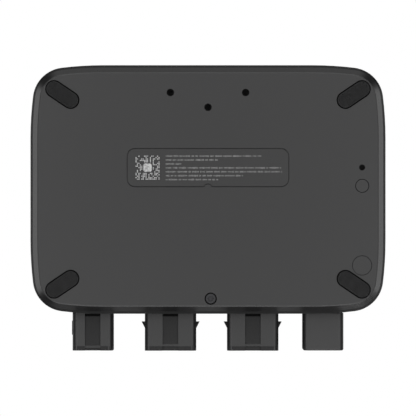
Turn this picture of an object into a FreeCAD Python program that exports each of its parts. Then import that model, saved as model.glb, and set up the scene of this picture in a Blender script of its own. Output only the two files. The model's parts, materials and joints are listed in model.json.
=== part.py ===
"""A vehicle battery charger (DC to DC) that stands on four rubber feet.

Millimetres, +Z up, ports towards -Y. The origin is on the floor, under the middle of the whole
outline. Places in y are given from the middle of the case, which lies half a port's length behind
the origin.
"""
import FreeCAD, Part
import math
import os
import re

import Sketcher

os.makedirs("parts", exist_ok=True)

SIZES = {
    # case
    "case_wide": 300, "case_deep": 210, "case_high": 70, "foot_proud": 2.5, "seam_high": 14,
    "flank_radius": 290, "corner_radius": 27.6, "flank_turn": 7,
    "plate_inset": 6.9, "edge_break": 0.4, "edge_rise": 0.25, "rim_inset": 2.1, "bevel_high": 8.5,
    "seam_groove": 0.5, "side_draft": 0.6, "roof_inset": 5.2, "roof_bevel": 5,
    "wall": 2.6, "floor_thick": 3, "roof_thick": 2.8,
    "gap": 0.3, "slip": 0.1, "seal_wide": 1, "seal_deep": 1.2,
    "rib_count": 15, "rib_pitch": 9, "rib_long": 130, "rib_groove": 3, "rib_deep": 0.9,
    # underside
    "foot_inset_x": 27.6, "foot_inset_y": 25.3, "foot_turn": 34, "foot_long": 29.5, "foot_wide": 12.8,
    "foot_gap": 1.1, "foot_recess": 1.8, "foot_round": 0.4,
    "case_screw_radius": 1.9, "case_screw_head": 3.6, "case_screw_long": 22, "screw_head_thick": 1.4,
    "case_boss": 5, "bracket_x": 31.6, "bracket_inset": 23.6, "bracket_mid_inset": 36, "bracket_radius": 3.2,
    "bracket_deep": 7.6, "bracket_boss": 6, "insert_bore": 2.6, "insert_sunk": 3,
    "boss_wall": 1.5, "screw_loose": 0.3, "thread_fit": 0.05,
    "label_y": 18.3, "label_wide": 136.6, "label_deep": 32.9, "label_corner": 7, "label_gap": 0.8,
    "label_sunk": 1.3, "label_thick": 1.1, "notch_radius": 3.8, "notch_drop": 0.65,
    "socket_x": -2.3, "socket_inset": 13.2, "socket_recess": 5.2, "socket_head": 4.0, "socket_hex": 4.6,
    "socket_sunk": 3.6, "socket_head_thick": 3, "socket_shank": 2.4, "socket_long": 9, "socket_bite": 7,
    "locating_inset": 20.5, "locating_y": 18.4, "locating_radius": 2.55, "locating_deep": 5,
    "ring_inset": 20.4, "ring_y": 3, "ring_radius": 5.95, "ring_wide": 0.8, "ring_deep": 0.8,
    "vent_inset": 20.5, "vent_inset_y": 41.1, "vent_radius": 8.4, "vent_gap": 0.5, "vent_thick": 1.5,
    "vent_bore": 4,
    # ports on the front wall
    "port_out": 31.8, "port_z": 36, "port_wall": 2.6, "port_round": 4.2, "port_floor": 4,
    "front_pad": 3, "front_pad_inset": 34, "front_pad_low": 14.8, "front_pad_high": 44,
    "flange_side": 2, "flange_rise": 7, "flange_thick": 3, "port_seal": 1, "port_back": 2.5,
    "front_basis": 300, "outer_port_x": 98, "outer_port_wide": 34.5, "outer_port_high": 24,
    "power_wide": 43.6, "power_high": 28, "power_left_x": 31.9, "power_right_x": -38.1,
    "barb_start": 7.7, "barb_end": 13.2, "barb_proud": 2.8, "barb_high": 8,
    "key_start": 7, "key_end": 18.7, "key_proud": 0.8, "key_high": 6,
    "guide_wide": 13.3, "guide_start": 0.3, "guide_deep": 1.4, "pit_long": 2.4, "pit_deep": 2,
    "ramp_long": 1.9, "signal_lip": 2.3, "power_lip": 3.7, "lip_deep": 0.5, "lip_edge": 0.4,
    "guide_mouth": 1.8, "mouth_step": 3.8, "step_deep": 0.5, "tick_wide": 0.9, "tick_inset": 3.6,
    "contact_radius": 4, "contact_space": 18, "contact_sunk": 6, "pin_wide": 1.6, "pin_pitch": 4.4,
    "pin_row": 5, "port_screw": 1.4, "port_screw_head": 2.6, "port_screw_bite": 2.6,
    "port_screw_inset": 4, "port_head_thick": 1.6, "port_seal_wide": 1.5,
    "cap_wall": 1.8, "cap_round": 1.4, "cap_end": 2.8, "cap_play": 0.3,
    # power button and status light
    "button_x": 66.4, "button_radius": 4.8, "button_sunk": 0.3, "button_travel": 1.2,
    "button_flange": 6.2, "button_stem": 2, "light_radius": 1.6, "light_rise": 10,
    "panel_board_y": 13, "panel_post_radius": 2, "panel_post_inset": 3, "panel_board_wide": 14,
    "panel_board_high": 38, "switch_size": 6, "switch_thick": 3, "spring_play": 0.4,
    "spring_thick": 0.8, "button_stop": 1, "pipe_stop": 1, "led_size": 3,
    "led_thick": 1.4,
    # air path
    "vent_wide": 94, "vent_low": 23, "vent_drop": 13, "air_y": 6, "slot_wide": 3.2, "slot_pitch": 6.4,
    "slot_count": 14, "slot_margin": 4, "grille_sunk": 1, "grille_lip": 3, "lip_thick": 2, "lip_gap": 0.4,
    "fan_size": 40, "fan_thick": 20, "fan_space": 47, "fan_bore": 18.6, "hub_radius": 9,
    "hub_plate": 2, "fan_shaft": 1.5, "blade_tip": 17.5, "blade_chord": 12, "blade_thick": 1.2,
    "blade_tilt": 35, "blade_count": 7, "fan_hole": 1.7, "fan_hole_space": 32, "strut_wide": 3,
    "fan_head_thick": 1.6, "fan_screw_loose": 0.3, "fan_head_rim": 1, "rotor_play": 0.5,
    "sink_inset": 52, "sink_wide": 84, "sink_base": 5, "fin_thick": 1.6, "fin_count": 15,
    "sink_clear": 5.2, "post_radius": 3, "post_inset": 5,
    # boards and what stands on them
    "board_inset": 38, "board_front": 21, "board_rear": 13, "board_thick": 1.6, "board_lift": 6,
    "stand_radius": 3.5, "stand_inset": 8, "board_screw": 1.4, "board_head": 2.8,
    "board_head_thick": 1.8, "board_screw_bite": 3,
    "chip_wide": 16, "chip_deep": 20, "chip_high": 5, "chip_pitch": 42, "chip_rows": 44, "pad_thick": 0.5,
    "core_wide": 46, "core_deep": 30, "core_high": 36, "core_leg": 10, "core_inset": 40, "rear_inset": 31,
    "choke_inset": 98, "choke_outer": 16, "choke_inner": 8, "choke_high": 18, "wire_thick": 2, "wire_gap": 6,
    "can_radius": 8, "can_high": 34, "can_pitch": 17.5, "can_inset": 25, "bar_wide": 12, "bar_thick": 3,
    "bar_foot": 12, "fuse_long": 42, "fuse_wide": 13, "fuse_high": 9, "fuse_wall": 3,
    "fuse_play": 0.5, "front_inset": 53, "control_wide": 56, "control_deep": 24, "control_lift": 9,
    "control_x": -72, "spacer_radius": 2, "spacer_inset": 4, "radio_wide": 18, "radio_thick": 3,
    "radio_shift": 12, "shunt_long": 30, "shunt_wide": 8, "shunt_thick": 3, "shunt_x": 40,
}

doc = FreeCAD.newDocument("battery_charger")
sheet = doc.addObject("Spreadsheet::Sheet", "sizes")
for row, (alias, value) in enumerate(SIZES.items(), 1):
    sheet.set(f"A{row}", alias)
    sheet.set(f"B{row}", str(value))
    sheet.setAlias(f"B{row}", alias)
doc.recompute()

NODES = []
TURNS = {
    "x": FreeCAD.Rotation(FreeCAD.Vector(0, 1, 0), 90),
    "y": FreeCAD.Rotation(FreeCAD.Vector(1, 0, 0), -90),
    "z": FreeCAD.Rotation(),
}


def size(alias):
    """The sheet's value of one size."""
    return float(sheet.get(alias))


def bind(thing, **values):
    """Bind properties of a thing to expressions in the sheet's words."""
    for name, text in values.items():
        words = re.sub(r"[a-z][a-z_]*", lambda w: "sizes." + w[0] if w[0] in SIZES else w[0], str(text))
        thing.setExpression(name, words)


def place(thing, x=0, y=0, z=0, local=False):
    """Put a thing at x, y, z, with y from the middle of the case unless the place is local."""
    middle = "" if local else " + port_out / 2"
    bind(thing, **{".Placement.Base.x": x, ".Placement.Base.y": f"{y}{middle}", ".Placement.Base.z": z})


def block(name, wide, deep, high, x=0, y=0, z=0, local=False):
    """A box with its middle at x and y, standing on the height z."""
    thing = doc.addObject("Part::Box", name)
    bind(thing, Length=wide, Width=deep, Height=high)
    place(thing, f"{x} - ({wide}) / 2", f"{y} - ({deep}) / 2", z, local)
    return thing


def rod(name, radius, length, x=0, y=0, z=0, along="z", local=False):
    """A cylinder that starts at x, y, z and runs along one axis."""
    thing = doc.addObject("Part::Cylinder", name)
    thing.Placement = FreeCAD.Placement(FreeCAD.Vector(), TURNS[along])
    bind(thing, Radius=radius, Height=length)
    place(thing, x, y, z, local)
    return thing


def fuse(name, parts):
    """Several shapes as one solid."""
    thing = doc.addObject("Part::MultiFuse", name)
    thing.Shapes = list(parts)
    thing.Refine = True
    return thing


def cut(name, base, tools):
    """A shape without its tools."""
    thing = doc.addObject("Part::Cut", name)
    thing.Base = base
    thing.Tool = tools[0] if len(tools) == 1 else fuse(f"{name}_tools", tools)
    return thing


def group(name, parts):
    """Several separate solids in one node."""
    thing = doc.addObject("Part::Compound", name)
    thing.Links = list(parts)
    return thing


def rounded(name, base, radius, wanted):
    """A shape with a fillet on the edges that the test picks."""
    doc.recompute()
    thing = doc.addObject("Part::Fillet", name)
    thing.Base = base
    thing.Edges = [(i, radius, radius) for i, edge in enumerate(base.Shape.Edges, 1) if wanted(edge)]
    return thing


def runs_along_y(edge):
    """Whether an edge is straight and parallel to the y axis."""
    ends = [vertex.Point for vertex in edge.Vertexes]
    return len(ends) == 2 and abs(abs((ends[1] - ends[0]).y) - edge.Length) < 1e-6


def prism(name, corners, length, along="z", x=0, y=0, z=0):
    """A polygon, drawn across the axis named, and pulled out along it from x, y, z."""
    face = doc.addObject("Sketcher::SketchObject", f"{name}_face")
    spots = [FreeCAD.Vector(math.cos(i), math.sin(i), 0) for i in range(len(corners))]
    for start, end in zip(spots, spots[1:] + spots[:1]):
        face.addGeometry(Part.LineSegment(start, end), False)
    for i, (across, up) in enumerate(corners):
        face.addConstraint(Sketcher.Constraint("Coincident", i, 2, (i + 1) % len(corners), 1))
        for kind, text in (("DistanceX", across), ("DistanceY", up)):
            spot = face.addConstraint(Sketcher.Constraint(kind, -1, 1, i, 1, 1.0 + i))
            bind(face, **{f"Constraints[{spot}]": text})
    if along == "x":
        axes = FreeCAD.Vector(0, 1, 0), FreeCAD.Vector(0, 0, 1), FreeCAD.Vector(1, 0, 0)
        face.Placement = FreeCAD.Placement(FreeCAD.Vector(), FreeCAD.Rotation(*axes))
    place(face, x, y, z)
    thing = doc.addObject("Part::Extrusion", name)
    thing.Base = face
    thing.DirMode = "Normal"
    thing.Solid = True
    bind(thing, LengthFwd=length)
    return thing


def node(thing, label):
    """Name a sub-part, so that it is checked and written."""
    thing.Label = label
    NODES.append(thing)
    return thing


# --- Part Design helpers -----------------------------------------------------------------------

def body(name, x=0, y=0, z=0):
    """An empty body whose middle is the middle of the case."""
    made = doc.addObject("PartDesign::Body", name)
    place(made, x, y, z)
    return made


def sketch(owner, name, role="XY_Plane", lift=0):
    """A sketch on one of the body's own planes, lifted off it."""
    plane = next(f for f in owner.Origin.OriginFeatures if f.Role == role)
    made = owner.newObject("Sketcher::SketchObject", name)
    made.AttachmentSupport = [(plane, "")]
    made.MapMode = "FlatFace"
    bind(made, **{".AttachmentOffset.Base.z": lift})
    return made


def corner_arcs(inset):
    """Centre, radius and turns of the three arcs that round the corner at +x and +y."""
    big, small, turn = size("flank_radius"), size("corner_radius"), size("flank_turn")
    half_wide, half_deep = size("case_wide") / 2, size("case_deep") / 2
    lean = math.radians(turn)
    near = big - (big - small) * math.cos(lean)
    far = big - (big - small) * (math.cos(lean) - math.sin(lean))
    return [
        (half_wide - big, half_deep - far, big - inset, 0, turn),
        (half_wide - near, half_deep - near, small - inset, turn, 90 - turn),
        (half_wide - far, half_deep - big, big - inset, 90 - turn, 90),
    ]


def case_outline(inset):
    """The case's outline, drawn in by the inset: straight sides joined by corners of three arcs."""
    arcs = []
    for sx, sy in ((1, 1), (-1, 1), (-1, -1), (1, -1)):
        corner = corner_arcs(inset)
        for x, y, radius, start, end in corner if sx * sy > 0 else corner[::-1]:
            turns = (start, (start + end) / 2, end) if sx * sy > 0 else (end, (start + end) / 2, start)
            arcs.append([
                FreeCAD.Vector(
                    sx * (x + radius * math.cos(math.radians(t))),
                    sy * (y + radius * math.sin(math.radians(t))),
                    0,
                )
                for t in turns
            ])
    drawn = []
    for arc, after in zip(arcs, arcs[1:] + arcs[:1]):
        drawn.append(Part.Arc(*arc))
        if (after[0] - arc[2]).Length > 1e-6:
            drawn.append(Part.LineSegment(arc[2], after[0]))
    return drawn


def outline_sketch(owner, name, lift, inset):
    """The case's outline as a sketch at one height."""
    made = sketch(owner, name, lift=lift)
    made.addGeometry(case_outline(inset), False)
    return made


def loft(owner, kind, name, levels):
    """A loft through the case's outline at several heights, as (height, inset) pairs."""
    drawn = [outline_sketch(owner, f"{name}_{i}", *level) for i, level in enumerate(levels)]
    made = owner.newObject(f"PartDesign::{kind}", name)
    made.Profile = drawn[0]
    made.Sections = drawn[1:]
    made.Ruled = True
    return made


def rectangle(owner, wide, deep, x=0, y=0):
    """A rectangle in a sketch with its middle at x and y."""
    first = owner.GeometryCount
    ends = [(-1, -1), (1, -1), (1, 1), (-1, 1)]
    for (ax, ay), (bx, by) in zip(ends, ends[1:] + ends[:1]):
        owner.addGeometry(Part.LineSegment(FreeCAD.Vector(ax, ay, 0), FreeCAD.Vector(bx, by, 0)), False)
    for i in range(4):
        owner.addConstraint(Sketcher.Constraint("Coincident", first + i, 2, first + (i + 1) % 4, 1))
        owner.addConstraint(Sketcher.Constraint(("Horizontal", "Vertical")[i % 2], first + i))
    for kind, line, text in (
        ("DistanceX", 0, f"{x} - ({wide}) / 2"), ("DistanceY", 0, f"{y} - ({deep}) / 2"),
        ("DistanceX", 2, f"{x} + ({wide}) / 2"), ("DistanceY", 2, f"{y} + ({deep}) / 2"),
    ):
        spot = owner.addConstraint(Sketcher.Constraint(kind, -1, 1, first + line, 1, 1.0 if line else -1.0))
        bind(owner, **{f"Constraints[{spot}]": text})


def pad(owner, name, profile, length, backwards=False):
    """Pull a sketch out of its plane."""
    made = owner.newObject("PartDesign::Pad", name)
    made.Profile = profile
    made.Reversed = backwards
    bind(made, Length=length)
    return made


def pocket(owner, name, profile, length, backwards=False):
    """Cut a sketch into the body, and make sure that it removes something."""
    doc.recompute()
    before = owner.Shape.Volume
    made = owner.newObject("PartDesign::Pocket", name)
    made.Profile = profile
    made.Reversed = backwards
    bind(made, Length=length)
    doc.recompute()
    if made.Shape.Volume > before - 1e-3:
        raise RuntimeError(f"{name} cuts nothing")
    return made


# --- Case --------------------------------------------------------------------------------------

def slot_block(name, long, wide, high):
    """A block with round ends, lying along x and centred on its own origin."""
    reach = f"(({long}) - ({wide})) / 2"
    return fuse(name, [
        block(f"{name}_bar", f"{long} - ({wide})", wide, high, local=True),
        rod(f"{name}_end", f"({wide}) / 2", high, x=reach, local=True),
        rod(f"{name}_end", f"({wide}) / 2", high, x=f"-{reach}", local=True),
    ])


FEET = {"rear_left": (1, 1), "rear_right": (-1, 1), "front_left": (1, -1), "front_right": (-1, -1)}


def at_foot(thing, sides, z):
    """Put a slot block under one corner, turned towards that corner."""
    turn = size("foot_turn") * sides[0] * sides[1]
    thing.Placement = FreeCAD.Placement(FreeCAD.Vector(), FreeCAD.Rotation(FreeCAD.Vector(0, 0, 1), turn))
    place(thing, *foot_spot(sides), z)
    return thing


def foot_spot(sides):
    """The middle of one foot, as x and y."""
    return f"{sides[0]} * (case_wide / 2 - foot_inset_x)", f"{sides[1]} * (case_deep / 2 - foot_inset_y)"


def corner_rods(name, radius, length, z):
    """Four upright rods, one over each foot."""
    return [rod(name, radius, length, *foot_spot(sides), z) for sides in FEET.values()]


BOARD_WIDE = "(case_wide - 2 * board_inset)"
BOARD_DEEP = "(case_deep - board_front - board_rear)"
BOARD_Y = "((board_front - board_rear) / 2)"
STANDS = [(f"{sx} * ({BOARD_WIDE} / 2 - stand_inset)", f"{BOARD_Y} + {sy} * ({BOARD_DEEP} / 2 - stand_inset)")
          for sx, sy in FEET.values()] + [("0", BOARD_Y)]
BRACKETS = [("bracket_x", "case_deep / 2 - bracket_inset"), ("-bracket_x", "case_deep / 2 - bracket_inset"),
            ("0", "case_deep / 2 - bracket_mid_inset")]
SOCKET = "socket_x", "(-case_deep / 2 + socket_inset)"
LOCATING = "(-case_wide / 2 + locating_inset)", "locating_y"
RING = "(-case_wide / 2 + ring_inset)", "ring_y"
VENT = "(-case_wide / 2 + vent_inset)", "(-case_deep / 2 + vent_inset_y)"
NOTCH = "0", "(label_y - label_deep / 2 - notch_drop)"
INNER_FLOOR = "(foot_proud + floor_thick)"
BOARD_LOW = "(foot_proud + floor_thick + board_lift)"
BOARD_TOP = "(foot_proud + floor_thick + board_lift + board_thick)"


def bottom_shell():
    """The tray: a flat plate with a bevelled edge, bosses inside and recesses below."""
    plate, rim, wall = size("plate_inset"), size("rim_inset"), size("wall")
    tray = body("tray")
    loft(tray, "AdditiveLoft", "tray_outside", [
        ("foot_proud", plate + size("edge_break")),
        ("foot_proud + edge_rise", plate - size("edge_break")),
        ("foot_proud + bevel_high", rim),
        ("seam_high - seam_groove", 0),
        ("seam_high", size("seam_groove")),
    ])
    loft(tray, "SubtractiveLoft", "tray_inside", [
        ("foot_proud + floor_thick", plate + wall * 0.6),
        ("foot_proud + bevel_high + 1", rim + wall),
        ("seam_high", wall),
    ])
    tray_groove = outline_sketch(tray, "groove_shape", "seam_high", size("wall") / 2 - size("seal_wide") / 2)
    tray_groove.addGeometry(case_outline(size("wall") / 2 + size("seal_wide") / 2), False)
    pocket(tray, "seal_groove", tray_groove, "seal_deep")
    bosses = [rod("boss", "bracket_boss", "bracket_deep + 1 - floor_thick", x, y, INNER_FLOOR)
              for x, y in BRACKETS]
    bosses += [rod("stand", "stand_radius", "board_lift", x, y, INNER_FLOOR) for x, y in STANDS]
    bosses += corner_rods("post", "case_boss", "seam_high - floor_thick - foot_proud", INNER_FLOOR)
    bosses.append(rod("socket_boss", "socket_recess + boss_wall", "socket_long - 1", *SOCKET, INNER_FLOOR))
    bosses.append(rod("locating_boss", "locating_radius + boss_wall",
                      "locating_deep + boss_wall - floor_thick", *LOCATING, INNER_FLOOR))
    whole = fuse("tray_with_bosses", [tray] + bosses)

    tools = [at_foot(slot_block("foot_hole", "foot_long + 2 * foot_gap", "foot_wide + 2 * foot_gap",
                                "foot_recess + 1"), sides, "foot_proud - 1") for sides in FEET.values()]
    tools += corner_rods("post_bore", "case_screw_radius + screw_loose", "seam_high", "foot_proud")
    tools += corner_rods("post_sink", "case_screw_head + screw_loose",
                         "foot_recess + screw_head_thick + slip", "foot_proud")
    tools += [rod("bracket_bore", "bracket_radius", "bracket_deep + 1", x, y, "foot_proud - 1")
              for x, y in BRACKETS]
    tools += [rod("stand_bore", "board_screw + thread_fit", "board_lift", x, y,
                  f"{INNER_FLOOR} + 1") for x, y in STANDS]
    tools += [
        rod("socket_sink", "socket_recess", "socket_sunk + 1", *SOCKET, "foot_proud - 1"),
        rod("socket_bore", "socket_shank + slip", "socket_long + floor_thick", *SOCKET, "foot_proud"),
        rod("locating_bore", "locating_radius", "locating_deep + 1", *LOCATING, "foot_proud - 1"),
        rod("vent_sink", "vent_radius", "vent_thick + 1 + slip", *VENT, "foot_proud - 1"),
        rod("vent_hole", "vent_bore", "floor_thick + 2", *VENT, "foot_proud - 1"),
        cut("ring_groove", rod("ring_outer", "ring_radius", "ring_deep + 1", *RING, "foot_proud - 1"),
            [rod("ring_inner", "ring_radius - ring_wide", "ring_deep + 1", *RING, "foot_proud - 1")]),
        cut("label_sink_with_tongue", label_block("label_sink", "label_wide", "label_deep",
                                                  "label_corner", "label_sunk + 1", "foot_proud - 1"),
            [rod("label_tongue", "notch_radius - label_gap", "label_sunk + 3", *NOTCH, "foot_proud - 2")]),
    ]
    return node(cut("bottom_shell", whole, tools), "bottom_shell")


def label_block(name, wide, deep, corner, high, z):
    """A flat block with rounded corners over the label's place."""
    spots = [(sx, sy) for sx in (1, -1) for sy in (1, -1)]
    return fuse(name, [
        block(f"{name}_long", wide, f"{deep} - 2 * ({corner})", high, 0, "label_y", z),
        block(f"{name}_short", f"{wide} - 2 * ({corner})", deep, high, 0, "label_y", z),
    ] + [
        rod(f"{name}_corner", corner, high, f"{sx} * (({wide}) / 2 - ({corner}))",
            f"label_y + {sy} * (({deep}) / 2 - ({corner}))", z) for sx, sy in spots
    ])


def info_label():
    """The flush plate in the underside, with a finger notch in its front edge."""
    blank = label_block("label_blank", "label_wide - 2 * label_gap", "label_deep - 2 * label_gap",
                        "label_corner - label_gap", "label_thick",
                        "foot_proud + label_sunk - label_thick")
    notch = rod("label_notch", "notch_radius", "label_sunk + 2", *NOTCH, "foot_proud - 1")
    node(cut("info_label", blank, [notch]), "info_label")


def feet():
    """Four rubber pads in their recesses."""
    for place_name, sides in FEET.items():
        blank = slot_block(f"pad_{place_name}", "foot_long", "foot_wide", "foot_proud + foot_recess")
        foot = rounded(f"foot_{place_name}", blank, size("foot_round"),
                       lambda edge: all(abs(v.Z) < 1e-6 for v in edge.Vertexes))
        node(at_foot(foot, sides, 0), f"foot_{place_name}")


def case_seal():
    """The rubber cord in the groove of the tray's rim."""
    ring = body("case_seal")
    middle, half = size("wall") / 2, size("seal_wide") / 2 - size("slip")
    shape = outline_sketch(ring, "seal_shape", "seam_high - seal_deep", middle - half)
    shape.addGeometry(case_outline(middle + half), False)
    pad(ring, "seal_ring", shape, "seal_deep")
    node(ring, "case_seal")


def top_shell():
    """The cover: walls, roof with cooling ribs, port openings, vents and screw posts."""
    wall, draft = size("wall"), size("side_draft")
    cover = body("cover")
    loft(cover, "AdditiveLoft", "cover_outside", [
        ("seam_high", size("seam_groove")),
        ("seam_high + seam_groove", 0),
        ("case_high - roof_bevel", draft),
        ("case_high - edge_rise", size("roof_inset") - size("edge_break")),
        ("case_high", size("roof_inset") + size("edge_break")),
    ])
    loft(cover, "SubtractiveLoft", "cover_inside", [
        ("seam_high", wall),
        ("case_high - roof_bevel - 1", draft + wall),
        ("case_high - roof_thick", size("roof_inset") + wall * 0.6),
    ])
    pad_y = "-case_deep / 2 + wall + front_pad / 2"
    solid = [cover, block("front_inner_pad", "case_wide - 2 * front_pad_inset",
                          "front_pad + 2 * slip", "front_pad_high", 0, f"{pad_y} - slip",
                          "front_pad_low")]
    solid += corner_rods("roof_post", "case_boss", "case_high - seam_high - roof_thick / 2", "seam_high")
    solid += [rod("panel_post", "panel_post_radius", "panel_board_y - wall - front_pad + 1", BUTTON_X,
                  f"{PAD_FACE} - 1", f"port_z + {side} * (panel_board_high / 2 - panel_post_inset)", "y")
              for side in (1, -1)]
    whole = fuse("cover_with_posts", solid)

    tools = corner_rods("roof_post_bore", "case_screw_radius + thread_fit",
                        "case_screw_long - seam_high + foot_proud + foot_recess + 1", "seam_high - 0.5")
    for x, wide, high in PORT_FRAMES:
        tools.append(block("port_hole", f"{wide} + 2 * slip", "front_pad + wall + 4", f"{high} + 2 * slip", x,
                           pad_y, f"port_z - ({high}) / 2 - slip"))
        tools += port_screw_rods(x, wide, high, "port_screw + thread_fit",
                                 f"{PAD_FACE} - port_screw_bite - slip", "port_screw_bite + 1")
    tools += [
        rod("button_hole", "button_radius + gap", "front_pad + wall + 2", BUTTON_X, "-case_deep / 2 - 1",
            "port_z", "y"),
        rod("light_hole", "light_radius + slip", "front_pad + wall + 2", BUTTON_X, "-case_deep / 2 - 1",
            "port_z + light_rise", "y"),
        block("intake_hole", "4 * wall", "vent_wide", VENT_HIGH, "case_wide / 2", "air_y", "vent_low"),
        block("exhaust_hole", "4 * wall", "vent_wide", VENT_HIGH, "-case_wide / 2", "air_y", "vent_low"),
    ]
    tools += [block("rib_gap", "rib_groove", "rib_long", "rib_deep + 1",
                    f"{i - (SIZES['rib_count'] - 1) / 2} * rib_pitch", 0, "case_high - rib_deep")
              for i in range(int(size("rib_count")))]
    return node(cut("top_shell", whole, tools), "top_shell")


def case_screws():
    """Four screws that hold the two shells together, hidden by the feet."""
    low = "foot_proud + foot_recess"
    made = []
    for sides in FEET.values():
        x, y = foot_spot(sides)
        made.append(fuse("case_screw", [
            rod("case_screw_top", "case_screw_head", "screw_head_thick", x, y, f"{low} + slip"),
            rod("case_screw_body", "case_screw_radius", "case_screw_long", x, y, f"{low} + slip"),
        ]))
    node(group("case_screws", made), "case_screws")


def small_underside_parts():
    """The bracket inserts, the socket screw and the pressure vent plug."""
    low = "foot_proud + insert_sunk"
    node(group("bracket_inserts", [
        cut("insert", rod("insert_body", "bracket_radius", "bracket_deep - insert_sunk", x, y, low),
            [rod("insert_hole", "insert_bore", "bracket_deep", x, y, low)])
        for x, y in BRACKETS
    ]), "bracket_inserts")
    head_low = "foot_proud + socket_sunk - socket_head_thick"
    hexagon = [(f"socket_hex / 2 * {round(math.cos(math.radians(60 * i)) * 1.1547, 4)}",
                f"socket_hex / 2 * {round(math.sin(math.radians(60 * i)) * 1.1547, 4)}") for i in range(6)]
    screw = fuse("socket_screw_blank", [
        rod("socket_screw_head", "socket_head", "socket_head_thick", *SOCKET, head_low),
        rod("socket_screw_shank", "socket_shank", "socket_head_thick + socket_bite", *SOCKET, head_low),
    ])
    drive = prism("socket_drive", hexagon, "socket_head_thick * 0.7", x=SOCKET[0], y=SOCKET[1],
                  z=f"{head_low} - slip")
    node(cut("socket_screw", screw, [drive]), "socket_screw")
    node(rod("vent_plug", "vent_radius - vent_gap", "vent_thick", *VENT, "foot_proud + slip"), "vent_plug")


# --- Ports -------------------------------------------------------------------------------------

CAPPED_WIDE = "(outer_port_wide - 2 * cap_wall - 2 * cap_play)"
CAPPED_HIGH = "(outer_port_high - 2 * cap_wall - 2 * cap_play)"


def along_front(x):
    """A place along the front wall, given for a case as wide as front_basis, in the present case."""
    return f"({x} * case_wide / front_basis)"


OUTER_PORT_X = along_front("outer_port_x")
POWER_LEFT_X = along_front("power_left_x")
POWER_RIGHT_X = along_front("power_right_x")
BUTTON_X = along_front("button_x")
PORT_FRAMES = [(OUTER_PORT_X, "outer_port_wide", "outer_port_high"),
               (POWER_LEFT_X, "power_wide", "power_high"),
               (POWER_RIGHT_X, "power_wide", "power_high"),
               (f"-{OUTER_PORT_X}", CAPPED_WIDE, CAPPED_HIGH)]
MOUTH = "(-case_deep / 2 - port_out)"
PAD_FACE = "(-case_deep / 2 + wall + front_pad)"
FLANGE_FACE = "(-case_deep / 2 + wall + front_pad + port_seal)"
PIN_END = "(-case_deep / 2 + wall + front_pad + port_seal + flange_thick + port_back)"


def port_screw_rods(x, wide, high, radius, start, length, name="port_screw_rod"):
    """Four rods along y in the corners of a port's flange."""
    return [rod(name, radius, length, f"{x} + {sx} * (({wide}) / 2 - port_screw_inset)", start,
                f"port_z + {sz} * (({high}) / 2 + flange_rise / 2 + gap)", "y")
            for sx in (1, -1) for sz in (1, -1)]


def header(name, x, wide, high, mouth, extras=(), cuts=()):
    """A plug header: an open box through the wall, with a floor, a flange and a block behind."""
    middle = f"(({mouth}) + {FLANGE_FACE}) / 2"
    shroud = rounded(f"{name}_shroud", block(f"{name}_box", wide, f"{FLANGE_FACE} - {mouth}", high, x,
                                             middle, f"port_z - ({high}) / 2"),
                     size("port_round"), runs_along_y)
    outer = fuse(f"{name}_outer", [
        shroud,
        block(f"{name}_flange", f"{wide} + 2 * flange_side", "flange_thick", f"{high} + 2 * flange_rise", x,
              f"{FLANGE_FACE} + flange_thick / 2", f"port_z - ({high}) / 2 - flange_rise"),
        block(f"{name}_back", f"{wide} - 2 * port_wall", "port_back", f"{high} - 2 * port_wall", x,
              f"{FLANGE_FACE} + flange_thick + port_back / 2", f"port_z - ({high}) / 2 + port_wall"),
        *extras,
    ])
    hollow = block(f"{name}_hollow", f"{wide} - 2 * port_wall", f"{FLANGE_FACE} - port_floor - {mouth} + 1",
                   f"{high} - 2 * port_wall", x, f"({FLANGE_FACE} - port_floor + {mouth} - 1) / 2",
                   f"port_z - ({high}) / 2 + port_wall")
    holes = port_screw_rods(x, wide, high, "port_screw + 2 * slip", f"{FLANGE_FACE} - 1", "flange_thick + 2")
    return node(cut(name, outer, [hollow, *holes, *cuts]), name)


def guide_cuts(name, x, wide, high, lip):
    """The step round the mouth and the plug's guide channel, cut in a port's underside."""
    low = f"port_z - ({high}) / 2"
    start = "-case_deep / 2 - guide_start"
    guide = prism(f"{name}_guide", [
        (start, -1), (start, "pit_deep"), (f"{start} - pit_long", "pit_deep"),
        (f"{start} - pit_long", "guide_deep"), (f"{MOUTH} + {lip} + ramp_long", "guide_deep"),
        (f"{MOUTH} + {lip}", "lip_deep"), (f"{MOUTH} + {lip} - lip_edge", "guide_mouth"),
        (f"{MOUTH} - 1", "guide_mouth"), (f"{MOUTH} - 1", -1),
    ], "guide_wide", along="x", x=f"{x} - guide_wide / 2", z=low)
    step = cut(f"{name}_step", block(f"{name}_band", f"{wide} + 2", "mouth_step + 1", "step_deep + 1", x,
                                     f"{MOUTH} - 0.5 + mouth_step / 2", f"{low} - 1"), [
        block(f"{name}_tick", "tick_wide", "mouth_step + 2", "step_deep + 2",
              f"{x} + {side} * (({wide}) / 2 - tick_inset)", f"{MOUTH} + mouth_step / 2", f"{low} - 1")
        for side in (1, -1)])
    return [guide, step]


def header_seal(name, x, wide, high):
    """The flat gasket between a port's flange and the wall."""
    middle = f"{PAD_FACE} + port_seal / 2"
    outer = block(f"{name}_outer", f"{wide} + 2 * port_seal_wide", "port_seal",
                  f"{high} + 2 * port_seal_wide", x, middle, f"port_z - ({high}) / 2 - port_seal_wide")
    inner = block(f"{name}_inner", f"{wide} + 2 * slip", "port_seal + 2", f"{high} + 2 * slip", x,
                  middle, f"port_z - ({high}) / 2 - slip")
    node(cut(name, outer, [inner]), name)


def pin_grid(name, x, columns, start, radius="pin_wide / 2"):
    """Small square pins in two rows that run along y to the back of a port."""
    return [
        block(name, f"2 * ({radius})", f"{PIN_END} + 3 - ({start})", f"2 * ({radius})",
              f"{x} + {column - (columns - 1) / 2} * pin_pitch", f"({PIN_END} + 3 + ({start})) / 2",
              f"port_z + {side} * pin_row / 2 - {radius}")
        for column in range(columns) for side in (1, -1)
    ]


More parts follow.
